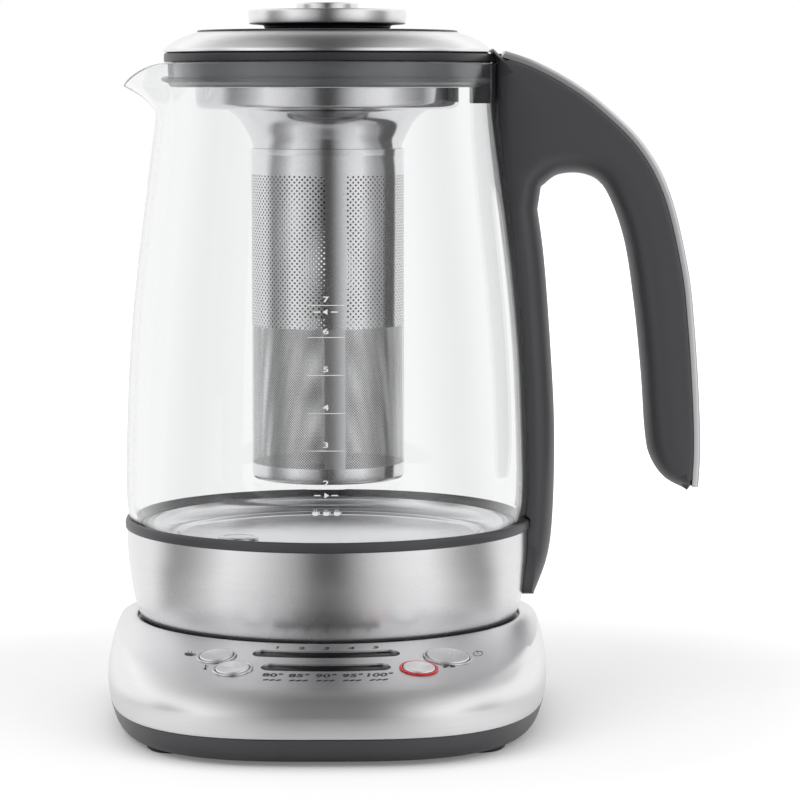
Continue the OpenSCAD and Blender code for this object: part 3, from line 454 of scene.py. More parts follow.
def sieve_steel(name, colour, pitch, hole):
    """The fine sieve: steel with rows of tiny staggered holes, cut by alpha,
    and a plain strip along the tube's seam."""
    material, tree, shader = new_material(name, Metallic=1.0)
    around = use_group(tree, ROUND).outputs
    columns = round(math.tau * TUBE_R / pitch)
    along = math_node(tree, "MULTIPLY", around["Turn"], columns / math.tau)
    up = math_node(tree, "DIVIDE", around["Height"], pitch * MM)
    shifted = [math_node(tree, "ADD", value, 0.5) for value in (along, up)]
    rows = [hole_mask(tree, along, up, hole / pitch), hole_mask(tree, *shifted, hole / pitch)]
    seam_turn = math.radians(SEAM_AZIMUTH - 270)
    off_seam = math_node(tree, "ABSOLUTE", math_node(tree, "SUBTRACT", around["Turn"], seam_turn))
    seam = math_node(tree, "LESS_THAN", off_seam, SEAM_W / 2 / TUBE_R)
    holes = math_node(tree, "MULTIPLY", *rows)
    tree.links.new(math_node(tree, "MAXIMUM", holes, seam), shader.inputs["Alpha"])
    toned(tree, shader, colour, brushing(tree, around["Coordinate"], (160, 160, 1800), 0.1)["Tone"])
    smeared(tree, shader, 0.3, 0.05)
    return material


def hole_mask(tree, along, up, radius):
    """0 in a round hole in the middle of each unit cell and 1 outside it."""
    parts = [math_node(tree, "FRACT", value) for value in (along, up)]
    across_cell, up_cell = [math_node(tree, "SUBTRACT", part, 0.5) for part in parts]
    spot = make_node(tree, "ShaderNodeCombineXYZ", {"X": across_cell, "Y": up_cell}).outputs[0]
    return math_node(tree, "GREATER_THAN", length_of(tree, spot), radius)


SIEVE_PITCH = 0.92
SIEVE_HOLE_R = 0.27

BRUSHED_COVER = brushed_steel("brushed_cover", (0.86, 0.86, 0.87), 0.38, False)
BRUSHED_BAND = brushed_steel("brushed_band", (0.78, 0.78, 0.79), 0.27, True, contrast=0.12)
BRUSHED_LID = brushed_steel("brushed_lid", (0.86, 0.86, 0.87), 0.28, True, contrast=0.3, stretch=1500.0)
TRIM_STEEL = brushed_steel("trim_steel", (0.74, 0.74, 0.75), 0.38, False, contrast=0.1)
TUBE_STEEL = brushed_steel("tube_steel", (0.80, 0.80, 0.81), 0.2, True, contrast=0.06)
BRIGHT_STEEL = polished_steel("bright_steel", (0.74, 0.74, 0.75), 0.12)
PLATE_STEEL = polished_steel("plate_steel", (0.78, 0.78, 0.79), 0.17)
RING_STEEL = polished_steel("ring_steel", (0.72, 0.72, 0.73), 0.2)
BUTTON_STEEL = spun_cap("button_steel", (0.90, 0.90, 0.91))
SIEVE_STEEL = sieve_steel("sieve_steel", (0.80, 0.80, 0.81), SIEVE_PITCH, SIEVE_HOLE_R)
# Dark steel for the inner faces of the tube and sieve: painted shade for the dark inside of the basket
SIEVE_INSIDE_PAINTED_SHADE = sieve_steel("sieve_inside_painted_shade", (0.22, 0.22, 0.225), SIEVE_PITCH, SIEVE_HOLE_R)
TUBE_INSIDE_PAINTED_SHADE = brushed_steel("tube_inside_painted_shade", (0.22, 0.22, 0.225), 0.5, True, contrast=0.1)
HANDLE_GREY = moulded("handle_grey", (0.060, 0.060, 0.066), 0.42)
SKIRT_GREY = moulded("skirt_grey", (0.10, 0.10, 0.105), 0.33, Metallic=0.88)
RING_GREY = moulded("ring_grey", (0.050, 0.050, 0.055), 0.38)
LID_BLACK = moulded("lid_black", (0.024, 0.024, 0.027), 0.3)
HOLDER_BLACK = moulded("holder_black", (0.030, 0.030, 0.034), 0.36)
RUBBER = moulded("foot_rubber", (0.035, 0.035, 0.037), 0.75, size=0.0009, bump=0.25)
LENS_BLACK = moulded("lens_black", (0.004, 0.004, 0.005), 0.16, bump=0.01, Specular_IOR_Level=0.12)
RED_RING = moulded("red_ring", (0.60, 0.008, 0.014), 0.28, bump=0.03, Coat_Weight=0.3)
SOCKET_BLACK = moulded("socket_black", (0.022, 0.022, 0.024), 0.42)
SEAL_GREY = silicone("seal_silicone", (0.52, 0.53, 0.55), 0.55)
FOOT_SEAL = silicone("glass_seal_silicone", (0.55, 0.56, 0.58), 0.35)
CLEAR_GLASS = clear_glass("clear_glass")
WHITE_PRINT = moulded("white_print", (0.86, 0.86, 0.86), 0.5, bump=0.05, contrast=0.05)
DARK_PRINT = moulded("dark_print", (0.022, 0.022, 0.025), 0.5, bump=0.05, contrast=0.05)
CONTACT_BRASS = brushed_steel("contact_brass", (0.72, 0.52, 0.22), 0.3, True)
SCREW_STEEL = brushed_steel("screw_steel", (0.5, 0.5, 0.51), 0.35, False)
PLATE_ALUMINIUM = brushed_steel("plate_aluminium", (0.66, 0.66, 0.67), 0.45, True)
BOARD_GREEN = moulded("board_green", (0.02, 0.12, 0.06), 0.4, size=0.0015)
LAMP_WHITE = moulded("lamp_white", (0.8, 0.78, 0.7), 0.3)

# ------------------------------------------------------------------ mesh helpers

ROUND_STEPS = 160


def polar(radius, degrees, z):
    """A point at an angle round the jug's axis, 0 at the handle and 270 in front."""
    turn = math.radians(degrees)
    return Vector((radius * math.cos(turn), radius * math.sin(turn), z))


def between(a, b, c, d, t):
    """A point on the smooth curve through four knots, between b and c."""
    square = (2 * a - 5 * b + 4 * c - d) * t ** 2
    cube = (3 * b - a - 3 * c + d) * t ** 3
    return 0.5 * (2 * b + (c - a) * t + square + cube)


def smooth_curve(knots, steps):
    """A smooth open curve through all of the knots."""
    ends = [Vector(knot) for knot in knots]
    curve = []
    for i in range(len(ends) - 1):
        near = (ends[max(i - 1, 0)], ends[i], ends[i + 1], ends[min(i + 2, len(ends) - 1)])
        curve += [between(*near, step / steps) for step in range(steps)]
    return curve + [ends[-1]]


def moved_in(curve, distance):
    """An open (radius, height) curve moved to its left by a distance."""
    moved = []
    for i, point in enumerate(curve):
        along = (curve[min(i + 1, len(curve) - 1)] - curve[max(i - 1, 0)]).normalized()
        moved.append(point + Vector((-along.y, along.x)) * distance)
    return moved


def as_mesh(name, mesh_data):
    """A mesh from a bmesh, which is freed."""
    mesh = bpy.data.meshes.new(name)
    mesh_data.to_mesh(mesh)
    mesh_data.free()
    return mesh


def as_piece(name, mesh_data, body, material, nodes=(), merge=True):
    """A finished piece from a bmesh, smooth but for its sharp edges, that
    rides on a body and stands for CAD nodes."""
    if merge:
        bmesh.ops.remove_doubles(mesh_data, verts=mesh_data.verts, dist=1e-6)
    bmesh.ops.recalc_face_normals(mesh_data, faces=mesh_data.faces)
    piece = linked(name, as_mesh(name, mesh_data))
    piece.data.materials.append(material)
    shade(piece)
    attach(piece, body)
    if nodes:
        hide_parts(*nodes)
    return piece


def shade(piece, sharp=32.0):
    """Smooth shading but for edges over an angle in degrees."""
    for face in piece.data.polygons:
        face.use_smooth = True
    piece.data.set_sharp_from_angle(angle=math.radians(sharp))


def modified(piece, kind, **settings):
    """Makes what one modifier does to a piece part of its mesh."""
    modifier = piece.modifiers.new(kind, kind)
    for name, value in settings.items():
        setattr(modifier, name, value)
    graph = bpy.context.evaluated_depsgraph_get()
    mesh = bpy.data.meshes.new_from_object(piece.evaluated_get(graph))
    piece.modifiers.clear()
    piece.data = mesh


def only_edges(geometry):
    return [part for part in geometry if isinstance(part, bmesh.types.BMEdge)]


def only_verts(geometry):
    return [part for part in geometry if isinstance(part, bmesh.types.BMVert)]


def bevelled(mesh_data, parts, offset, segments, affect="EDGES"):
    """Rounds edges or corners of a bmesh."""
    bmesh.ops.bevel(mesh_data, geom=parts, offset=offset, offset_type="OFFSET", segments=segments,
                    profile=0.5, affect=affect, material=-1)


def drawn_out(mesh_data, vector):
    """Draws all of a bmesh's faces out along a vector."""
    grown = bmesh.ops.extrude_face_region(mesh_data, geom=mesh_data.faces[:])["geom"]
    bmesh.ops.translate(mesh_data, vec=vector, verts=only_verts(grown))


def repeated(mesh_data, shifts):
    """Copies all of a bmesh to each of some shifts from where it is."""
    parts = mesh_data.verts[:] + mesh_data.edges[:] + mesh_data.faces[:]
    for shift in shifts:
        copy = bmesh.ops.duplicate(mesh_data, geom=parts)["geom"]
        bmesh.ops.translate(mesh_data, vec=shift, verts=only_verts(copy))


def in_place(mesh_data, place=AT_AXIS):
    """A bmesh moved from millimetres in its own frame to its place."""
    bmesh.ops.transform(mesh_data, matrix=place, verts=mesh_data.verts)
    return mesh_data


def profile(mesh_data, outline, closed):
    """A wire through (radius, height) points. A third number rounds a corner."""
    verts = [mesh_data.verts.new((point[0], 0, point[1])) for point in outline]
    pairs = list(zip(verts, verts[1:])) + ([(verts[-1], verts[0])] if closed else [])
    for pair in pairs:
        mesh_data.edges.new(pair)
    for vert, point in zip(verts, outline):
        if len(point) > 2:
            bevelled(mesh_data, [vert], point[2], 3, "VERTICES")


def turned_mesh(outline, closed=True, steps=ROUND_STEPS, place=AT_AXIS):
    """A bmesh turned from a profile, in its place."""
    mesh_data = bmesh.new()
    profile(mesh_data, outline, closed)
    bmesh.ops.spin(mesh_data, geom=mesh_data.verts[:] + mesh_data.edges[:], cent=(0, 0, 0),
                   axis=(0, 0, 1), angle=math.tau, steps=steps, use_merge=True)
    bmesh.ops.remove_doubles(mesh_data, verts=mesh_data.verts, dist=1e-4)
    return in_place(mesh_data, place)


def turned(name, outline, body, material, nodes=(), closed=True, steps=ROUND_STEPS,
           place=AT_AXIS):
    """A turned piece. An outline that isn't closed starts and ends on the axis."""
    mesh_data = turned_mesh(outline, closed, steps, place)
    return as_piece(name, mesh_data, body, material, nodes)


def lofted_mesh(rings, steps, ends="open"):
    """A bmesh through rings, each a function from an angle to (radius, height).
    Its ends stay open, are capped, or join the last ring to the first."""
    mesh_data = bmesh.new()
    verts = bmesh.ops.create_circle(mesh_data, segments=steps, radius=1.0)["verts"]
    first_edges = mesh_data.edges[:]
    edges = first_edges
    for number, ring in enumerate(rings):
        if number:
            grown = bmesh.ops.extrude_edge_only(mesh_data, edges=edges)["geom"]
            edges = [edge for edge in only_edges(grown) if edge.is_boundary]
            verts = only_verts(grown)
        for vert in verts:
            angle = math.degrees(math.atan2(vert.co.y, vert.co.x))
            radius, height = ring(angle)
            vert.co = polar(radius, angle, height)
    if ends == "joined":
        bmesh.ops.bridge_loops(mesh_data, edges=first_edges + edges)
    if ends == "capped":
        bmesh.ops.holes_fill(mesh_data, edges=mesh_data.edges, sides=0)
    bmesh.ops.recalc_face_normals(mesh_data, faces=mesh_data.faces)
    return in_place(mesh_data)


def cut_out(piece, cutters, sharp):
    """Cuts other closed meshes out of a piece, removes them and shades it."""
    for cutter in cutters:
        bmesh.ops.recalc_face_normals(cutter, faces=cutter.faces)
        mesh = as_mesh("cutter", cutter)
        tool = linked("cutter", mesh)
        modified(piece, "BOOLEAN", object=tool, operation="DIFFERENCE", solver="EXACT")
        bpy.data.objects.remove(tool)
        bpy.data.meshes.remove(mesh)
    shade(piece, sharp)


# ------------------------------------------------------------------ base

FRONT_POWER = 3.05
REAR_POWER = 2.1
CREASE_POWER = 2.65
CREASE_FRONT_IN = 7.5
CREASE_SIDE_IN = 2.8
CREASE_START = math.radians(28)
STEEL_IN = 1.1
FOOT_IN = 5.4
COVER_WALL = 0.8
BASE_STEPS = 240


def plan_radius(angle, side, front, rear, power):
    """From the axis to the base's plan, a rounded box with a longer front."""
    turn = math.radians(angle)
    forward = math.sin(turn) < 0
    reach = front if forward else rear
    power = power if forward else REAR_POWER
    return (abs(math.cos(turn) / side) ** power + abs(math.sin(turn) / reach) ** power) ** (-1 / power)


def belly_radius(angle):
    return plan_radius(angle, HALF_W, FRONT, REAR, FRONT_POWER)


def crease_radius(angle):
    return plan_radius(angle, HALF_W - CREASE_SIDE_IN, FRONT - CREASE_FRONT_IN,
                       REAR - CREASE_SIDE_IN, CREASE_POWER)


def panel_z(radius):
    """Height of the panel's cone at a distance from the axis."""
    return LIP_Z - PANEL_SLOPE * (radius - LIP_R)


def round_ring(radius, z):
    return lambda angle: (radius, z)


def belly_ring(inset, z):
    return lambda angle: (belly_radius(angle) - inset, z)


def panel_ring(share, inset=0.0):
    """A ring on the panel, from the lip (0) to the crease (1)."""
    def ring(angle):
        radius = LIP_R + (crease_radius(angle) - LIP_R) * share
        return radius, panel_z(radius) - inset
    return ring


def shoulder_ring(share, inset=0.0):
    """A ring on the rounded shoulder, from the crease (0) to the belly (1)."""
    def ring(angle):
        turn = CREASE_START + (math.pi / 2 - CREASE_START) * share
        out = (math.sin(turn) - math.sin(CREASE_START)) / (1 - math.sin(CREASE_START))
        down = (math.cos(CREASE_START) - math.cos(turn)) / math.cos(CREASE_START)
        crease = crease_radius(angle)
        top = panel_z(crease)
        radius = crease + (belly_radius(angle) - crease) * out
        return radius - inset, top + (BELLY_Z - top) * down - inset * (1 - share)
    return ring


TIME_ARC_R = LIP_R + 9.2
TEMP_ARC_R = TIME_ARC_R + 12.0
TIME_HALF_W = 24.5
TEMP_HALF_W = 21.4
SLOT_W = 6.4
CAP_GAP = 0.25
BEZEL_W = 0.9
CAP_PROUD = 0.9
GLAND_HOLE_R = 4.7
CUTTER_REACH = 6


def node_spot(node):
    """Where a button's axis meets the panel, from the middle of its ring."""
    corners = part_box(node)
    middle = (corners[0] + corners[1]) / 2 - AXIS
    radius = Vector((middle.x, middle.y)).length / MM
    return Vector((middle.x / MM, middle.y / MM, panel_z(radius)))


def on_panel(spot):
    """The place of a piece whose own Z is square to the panel at a spot."""
    heading = math.atan2(spot.y, spot.x)
    tilt = math.atan(PANEL_SLOPE)
    turned_out = Matrix.Translation(spot) @ Matrix.Rotation(heading, 4, "Z")
    return AT_AXIS @ turned_out @ Matrix.Rotation(tilt, 4, "Y")


BUTTONS = {
    "brew_time": ("brew_time_bezel", 5.65),
    "temp": ("temp_bezel", 5.65),
    "start_timer": ("start_timer_bezel", 7.2),
    "start_stop": ("start_stop_ring", 5.35),
}


def arc_cutter(arc_r, half_w, width, bottom, top):
    """A closed bar along an arc in front of the jug, round at its ends."""
    mesh_data = bmesh.new()
    sweep = math.asin(half_w / arc_r) - math.asin(width / 2 / arc_r)
    long_steps = 40
    end_steps = 10
    points = []
    for side in (1, -1):
        for step in range(long_steps + 1):
            turn = -math.pi / 2 + side * sweep * (2 * step / long_steps - 1)
            radius = arc_r + side * width / 2
            points.append(Vector((radius * math.cos(turn), radius * math.sin(turn), bottom)))
        end_turn = -math.pi / 2 + side * sweep
        centre = Vector((arc_r * math.cos(end_turn), arc_r * math.sin(end_turn), bottom))
        outward = Vector((math.cos(end_turn), math.sin(end_turn), 0)) * side * width / 2
        for step in range(1, end_steps):
            points.append(centre + Matrix.Rotation(math.pi * step / end_steps, 3, "Z") @ outward)
    mesh_data.faces.new([mesh_data.verts.new(point) for point in points])
    drawn_out(mesh_data, (0, 0, top - bottom))
    return in_place(mesh_data)


def plug(radius, bottom, top, place, steps=64):
    """A closed round bar that cuts a hole."""
    outline = [(0, bottom), (radius, bottom), (radius, top), (0, top)]
    return turned_mesh(outline, closed=False, steps=steps, place=place)


def button_cutter(name):
    """Cuts a button's hole, square to the panel."""
    node, cap_r = BUTTONS[name]
    radius = cap_r + CAP_GAP + BEZEL_W / 2 + 0.1
    return plug(radius, -CUTTER_REACH, CUTTER_REACH, on_panel(node_spot(node)))


def hole_cutter(centre, radius, bottom, top):
    """Cuts a hole along Z."""
    return plug(radius, bottom, top, AT_AXIS @ Matrix.Translation((centre[0], centre[1], 0)))


def gland_cutter():
    """Cuts the cord gland's hole through the rear wall."""
    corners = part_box("cord_gland")
    centre = (corners[0] + corners[1]) / 2 - AXIS
    place = (AT_AXIS @ Matrix.Translation((centre.x / MM, REAR, centre.z / MM))
             @ Matrix.Rotation(math.pi / 2, 4, "X"))
    return plug(GLAND_HOLE_R, -CUTTER_REACH, 14, place, steps=48)


def make_cover():
    """The drawn steel cover with its lip, slots and button holes."""
    inner_lip_z = LIP_Z - 0.7
    lip = [round_ring(LIP_INNER_R + out, z) for out, z in
           ((0, inner_lip_z), (0.25, inner_lip_z + 0.42), (0.8, LIP_Z - 0.04), (1.3, LIP_Z))]
    panel = [panel_ring(step / 10) for step in range(11)]
    shoulder = [shoulder_ring(step / 12) for step in range(1, 13)]
    wall = [belly_ring(STEEL_IN * share, SKIRT_TOP_Z + rise) for share, rise in
            ((0.12, 4.8), (0.35, 3.0), (0.7, 1.2), (1, 0.25))]
    wall += [belly_ring(STEEL_IN + 0.15, SKIRT_TOP_Z)]
    inside = [belly_ring(STEEL_IN + COVER_WALL, SKIRT_TOP_Z), belly_ring(COVER_WALL, BELLY_Z)]
    inside += [shoulder_ring(step / 5, COVER_WALL) for step in range(4, -1, -1)]
    inside += [panel_ring(step / 4, COVER_WALL) for step in range(3, -1, -1)]
    inside += [round_ring(LIP_INNER_R, inner_lip_z - COVER_WALL)]
    mesh_data = lofted_mesh(lip + panel + shoulder + wall + inside, BASE_STEPS, "joined")
    piece = as_piece("steel_cover", mesh_data, "base", BRUSHED_COVER, ["base_cover"])
    cutters = [arc_cutter(TIME_ARC_R, TIME_HALF_W, SLOT_W, LIP_Z - 8, LIP_Z + 2),
               arc_cutter(TEMP_ARC_R, TEMP_HALF_W, SLOT_W, LIP_Z - 10, LIP_Z + 2), gland_cutter()]
    cut_out(piece, cutters + [button_cutter(name) for name in BUTTONS], 30)


FEET = [f"foot_{end}_{side}" for end in ("front", "rear") for side in ("left", "right")]
SCREWS = [f"base_screw_{number}" for number in (1, 2, 3)]


def make_skirt():
    """The dark skirt under the cover, with pockets for its feet and screws."""
    upstand = COVER_WALL + STEEL_IN + 0.25
    skirt_wall = 2.4
    foot = [belly_ring(inset, SKIRT_LIFT + rise) for inset, rise in
            ((FOOT_IN + 1.2, 0), (FOOT_IN + 0.3, 0.25), (FOOT_IN - 0.6, 0.8), (3.7, 2.0), (2.9, 3.2),
             (2.2, 4.8), (1.6, 6.6))]
    top = [belly_ring(inset, SKIRT_TOP_Z + rise) for inset, rise in
           ((STEEL_IN, -0.3), (STEEL_IN + 0.25, -0.1), (upstand, -0.1), (upstand, 4.2),
            (upstand + skirt_wall, 4.2))]
    floor = [belly_ring(FOOT_IN + skirt_wall, SKIRT_LIFT + 2.6)]
    mesh_data = lofted_mesh(foot + top + floor, BASE_STEPS, "capped")
    piece = as_piece("skirt_shell", mesh_data, "base", SKIRT_GREY, ["base_skirt"])
    cut_out(piece, [gland_cutter()] + [foot_cutter(node) for node in FEET]
            + [screw_cutter(node) for node in SCREWS], 30)


def node_centre(node):
    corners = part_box(node)
    return (corners[0] + corners[1]) / 2 / MM - AXIS / MM


def foot_cutter(node):
    return hole_cutter(node_centre(node), across(node) + 0.1, SKIRT_LIFT - 1, high(node) + 0.1)


def screw_cutter(node):
    return hole_cutter(node_centre(node), across(node) + 0.3, SKIRT_LIFT - 1, SKIRT_LIFT + 1.9)


def make_deck():
    """The dark deck in the recess, dished round its connector."""
    deck_z = LIP_Z - 3.3
    flange_z = high("base_deck")
    outline = [(14.6, deck_z - 2.2), (LIP_INNER_R - 1, deck_z - 2.2), (LIP_INNER_R + 1.6, flange_z - 1.4),
               (LIP_INNER_R + 1.6, flange_z), (LIP_INNER_R - 0.4, flange_z, 0.3),
               (LIP_INNER_R - 2.2, deck_z + 0.9, 0.5), (LIP_INNER_R - 4.2, deck_z, 0.6),
               (28, deck_z, 0.2), (27, deck_z - 0.6, 0.2), (25, deck_z - 0.6, 0.2),
               (24, deck_z, 0.2), (14.6, deck_z, 0.2)]
    turned("deck", outline, "base", SKIRT_GREY, ["base_deck"])


def make_windows():
    """The two smoked display windows, just under the panel's surface."""
    for name, arc_r, half_w in (("time", TIME_ARC_R, TIME_HALF_W), ("temp", TEMP_ARC_R, TEMP_HALF_W)):
        mesh_data = arc_cutter(arc_r, half_w - 0.15, SLOT_W - 0.3, 0, 2)
        for vert in mesh_data.verts:
            radius = (vert.co - AXIS).xy.length / MM
            vert.co.z += (panel_z(radius) - 2.5) * MM
        bevelled(mesh_data, top_edges(mesh_data), 0.3 * MM, 2)
        as_piece(name + "_lens", mesh_data, "base", LENS_BLACK, [name + "_window"])


def top_edges(mesh_data):
    """The edges round a bar's top face."""
    faces = sorted(mesh_data.faces, key=lambda face: len(face.verts))[-2:]
    return max(faces, key=lambda face: face.calc_center_median().z).edges[:]


def make_buttons():
    """Rings and spun caps of the four buttons."""
    for name, (node, cap_r) in BUTTONS.items():
        place = on_panel(node_spot(node))
        inner = cap_r + CAP_GAP
        middle = inner + BEZEL_W / 2
        outer = inner + BEZEL_W
        material, slot = (RED_RING, "red_ring") if name == "start_stop" else (RING_STEEL, "bezel_metal")
        ring = [(inner, -3), (middle, -3), (middle, 0.1), (outer, 0.1), (outer, 0.5, 0.18),
                (outer - 0.3, 0.62, 0.1), (inner + 0.15, 0.58, 0.1), (inner, 0.4, 0.05)]
        turned(name + "_rim", ring, "base", material, [node], steps=96, place=place)
        make_cap(name, cap_r, place)


def make_cap(name, cap_r, place):
    """A cap with a shallow dish and a small bright edge, on its stem."""
    drop = low(name + "_button") - node_spot(BUTTONS[name][0]).z
    stem_foot = drop / math.cos(math.atan(PANEL_SLOPE)) + 0.4
    stem_r = 2
    dish_z = CAP_PROUD - 0.3
    under_z = CAP_PROUD - 2.2
    dish = [(0, dish_z), (cap_r * 0.1, CAP_PROUD - 0.298)]
    dish += [(cap_r * share, dish_z + 0.28 * share ** 2) for share in (0.25, 0.4, 0.55, 0.7, 0.85)]
    outline = dish + [(cap_r - 0.3, CAP_PROUD, 0.08), (cap_r, dish_z, 0.12), (cap_r, under_z),
                      (stem_r, under_z), (stem_r, stem_foot), (0, stem_foot)]
    mesh_data = turned_mesh(outline, closed=False, steps=96, place=place)
    home = place.inverted()
    piece = as_piece(name + "_cap", mesh_data, name + "_key", BUTTON_STEEL, [name + "_button"])
    turning = piece.data.attributes.new("turning", "FLOAT_VECTOR", "POINT")
    for vert, value in zip(piece.data.vertices, turning.data):
        local = home @ vert.co
        value.vector = (local.x * MM, local.y * MM, 0)


# ------------------------------------------------------------------ marks

PRINT_T = 0.05


def icon(parts):
    """A flat bmesh joined from simple shapes, in millimetres round its middle."""
    mesh_data = bmesh.new()
    for part in parts:
        part(mesh_data)
    return mesh_data


def bar(x, y, width, height, turn=0.0):
    """A straight stroke."""
    def add(mesh_data):
        place = (Matrix.Translation((x, y, 0)) @ Matrix.Rotation(math.radians(turn), 4, "Z")
                 @ Matrix.Diagonal((width / 2, height / 2, 1, 1)))
        steps = max(1, round(width / 0.8))
        bmesh.ops.create_grid(mesh_data, x_segments=steps, y_segments=1, size=1.0, matrix=place)
    return add


def dot(x, y, radius, corners=20, turn=0.0):
    """A filled round, or a triangle or square of few corners."""
    def add(mesh_data):
        place = Matrix.Translation((x, y, 0)) @ Matrix.Rotation(math.radians(turn), 4, "Z")
        bmesh.ops.create_circle(mesh_data, cap_ends=True, segments=corners, radius=radius, matrix=place)
    return add


def hoop(x, y, radius, width, first=0.0, last=360.0):
    """A round stroke from one angle to another."""
    def add(mesh_data):
        steps = max(6, round((last - first) / 12))
        verts = []
        for step in range(steps + 1):
            turn = math.radians(first + (last - first) * step / steps)
            for reach in (radius - width / 2, radius + width / 2):
                spot = (x + reach * math.cos(turn), y + reach * math.sin(turn), 0)
                verts.append(mesh_data.verts.new(spot))
        for step in range(steps):
            a, b, c, d = verts[2 * step:2 * step + 4]
            mesh_data.faces.new((a, b, d, c))
    return add


def leaf(x, y, length, turn):
    """A small pointed leaf."""
    def add(mesh_data):
        side = [(length / 2 * math.cos(math.pi * step / 8), length * 0.22 * math.sin(math.pi * step / 8))
                for step in range(9)]
        points = side + [(px, -py) for px, py in side[-2:0:-1]]
        spin = Matrix.Rotation(math.radians(turn), 3, "Z")
        mesh_data.faces.new([mesh_data.verts.new(Vector((x, y, 0)) + spin @ Vector((px, py, 0)))
                             for px, py in points])
    return add


def written(text, height, stretch, slant, weight):
    """Characters as a flat bmesh, centred, with capitals of that height."""
    curve = bpy.data.curves.new("characters", "FONT")
    curve.body = text
    curve.size = height / 0.7
    curve.shear = slant
    curve.offset = weight
    curve.align_x = "CENTER"
    curve.align_y = "CENTER"
    curve.resolution_u = 3
    carrier = linked("characters", curve)
    graph = bpy.context.evaluated_depsgraph_get()
    mesh = bpy.data.meshes.new_from_object(carrier.evaluated_get(graph))
    mesh_data = bmesh.new()
    mesh_data.from_mesh(mesh)
    bmesh.ops.scale(mesh_data, vec=(stretch, 1, 1), verts=mesh_data.verts)
    bmesh.ops.remove_doubles(mesh_data, verts=mesh_data.verts, dist=1e-5)
    bpy.data.objects.remove(carrier)
    bpy.data.curves.remove(curve)
    bpy.data.meshes.remove(mesh)
    return mesh_data


def laid(flat_marks, surface):
    """Prints flat marks on a surface: a function from (x, y, height) to a
    point. Each mark comes with the place of its middle."""
    printed = bmesh.new()
    for mesh_data, x, y in flat_marks:
        drawn_out(mesh_data, (0, 0, PRINT_T))
        for vert in mesh_data.verts:
            vert.co = AT_AXIS @ surface(x + vert.co.x, y + vert.co.y, vert.co.z)
        mesh = as_mesh("mark", mesh_data)
        printed.from_mesh(mesh)
        bpy.data.meshes.remove(mesh)
    return printed


def on_cone(x, y, height):
    """A point of the panel: x along an arc round the axis, -y its radius."""
    radius = -y
    return polar(radius, 270 + math.degrees(x / radius), panel_z(radius) + height)


def cup(width):
    """A cup with its ear and two lines of steam."""
    steam = [bar(side * width, width * 0.3, width * 0.07, width * 0.22) for side in (-0.12, 0.12)]
    return icon([bar(0, -0.05 * width, width * 0.7, width * 0.34),
                 bar(0, -0.26 * width, width * 0.5, width * 0.12),
                 hoop(width * 0.36, -0.02 * width, width * 0.13, width * 0.07, -100, 100)] + steam)


def thermometer(height):
    return icon([bar(0, height * 0.14, 0.5, height * 0.62), dot(0, -height * 0.3, 0.62),
                 bar(0.75, height * 0.3, 0.6, 0.22), bar(0.75, height * 0.08, 0.6, 0.22)])


def play_and_stop(size):
    return icon([dot(-size * 0.7, 0, size * 0.62, 3, -90), dot(size * 0.7, 0, size * 0.62, 4, 45)])


def timer_clock(radius):
    return icon([hoop(0, 0, radius, 0.3), bar(0, radius * 0.3, 0.28, radius * 0.65),
                 bar(0, radius + 0.45, 0.9, 0.3), bar(radius * 0.8, radius * 0.85, 0.6, 0.28, 45)])


TIME_NUMBERS_IN = 5.6
TEMP_NUMBERS_OUT = 7.2
LEAVES_OUT = 11.4


def make_panel_marks():
    """Dark numbers and signs round the displays and buttons."""
    pitch_time = 8.3
    pitch_temp = 8.75
    marks = []
    for number in range(5):
        x = (number - 2) * pitch_time
        marks.append((written(str(number + 1), 2.1, 1.45, 0.1, 0.07), x, -(TIME_ARC_R - TIME_NUMBERS_IN)))
    for number, degrees in enumerate((80, 85, 90, 95, 100)):
        x = (number - 2) * pitch_temp
        leaves = icon([leaf(aside, 0, 2.3, 25) for aside in (-2.1, 0, 2.1)])
        marks.append((written(f"{degrees}°", 2.7, 1.3, 0.1, 0.11), x, -(TEMP_ARC_R + TEMP_NUMBERS_OUT)))
        marks.append((leaves, x, -(TEMP_ARC_R + LEAVES_OUT)))
    spots = {name: node_spot(button[0]) for name, button in BUTTONS.items()}
    reach = {name: Vector((spot.x, spot.y)).length for name, spot in spots.items()}
    side = {name: math.radians(math.degrees(math.atan2(spot.y, spot.x)) + 90) * reach[name]
            for name, spot in spots.items()}
    marks += [(cup(5.2), side["brew_time"] - 10.8, -reach["brew_time"]),
              (thermometer(4.8), side["temp"] - 9.8, -reach["temp"]),
              (timer_clock(1.9), side["start_timer"] + 12.2, -reach["start_timer"]),
              (play_and_stop(2.0), side["start_stop"] + 10.8, -reach["start_stop"])]
    as_piece("panel_marks", laid(marks, on_cone), "base", DARK_PRINT, merge=False)


# ------------------------------------------------------------------ jug


def glass_height(share):
    return GLASS_FOOT_Z + share * (RIM_Z - GLASS_FOOT_Z)


GLASS_KNOTS = [
    (JUG_R - 3.1, GLASS_FOOT_Z), (JUG_R - 1.1, glass_height(0.027)), (JUG_R - 0.1, glass_height(0.07)),
    (JUG_R - 0.1, glass_height(0.167)), (JUG_R - 1.4, glass_height(0.362)),
    (NECK_R + 0.658 * NECK_IN, glass_height(0.542)), (NECK_R + 0.385 * NECK_IN, glass_height(0.697)),
    (NECK_R + 0.137 * NECK_IN, glass_height(0.825)), (NECK_R, RIM_Z - 15), (NECK_R, RIM_Z - 4),
    (NECK_R, RIM_Z),
]
GLASS_CURVE = smooth_curve(GLASS_KNOTS, 6)
SPOUT_OUT = -(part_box("jug_glass")[0].x - AXIS.x) / MM - NECK_R
SPOUT_DROP = 8.1
SPOUT_LOW_Z = RIM_Z - 20.5
SPOUT_HALF = 27.0
SPOUT_FLARE = 2.2


def glass_radius(z):
    """Outer radius of the glass at a height."""
    for start, end in zip(GLASS_CURVE, GLASS_CURVE[1:]):
        if start.y <= z <= end.y and end.y > start.y:
            return start.x + (end.x - start.x) * (z - start.y) / (end.y - start.y)
    return NECK_R


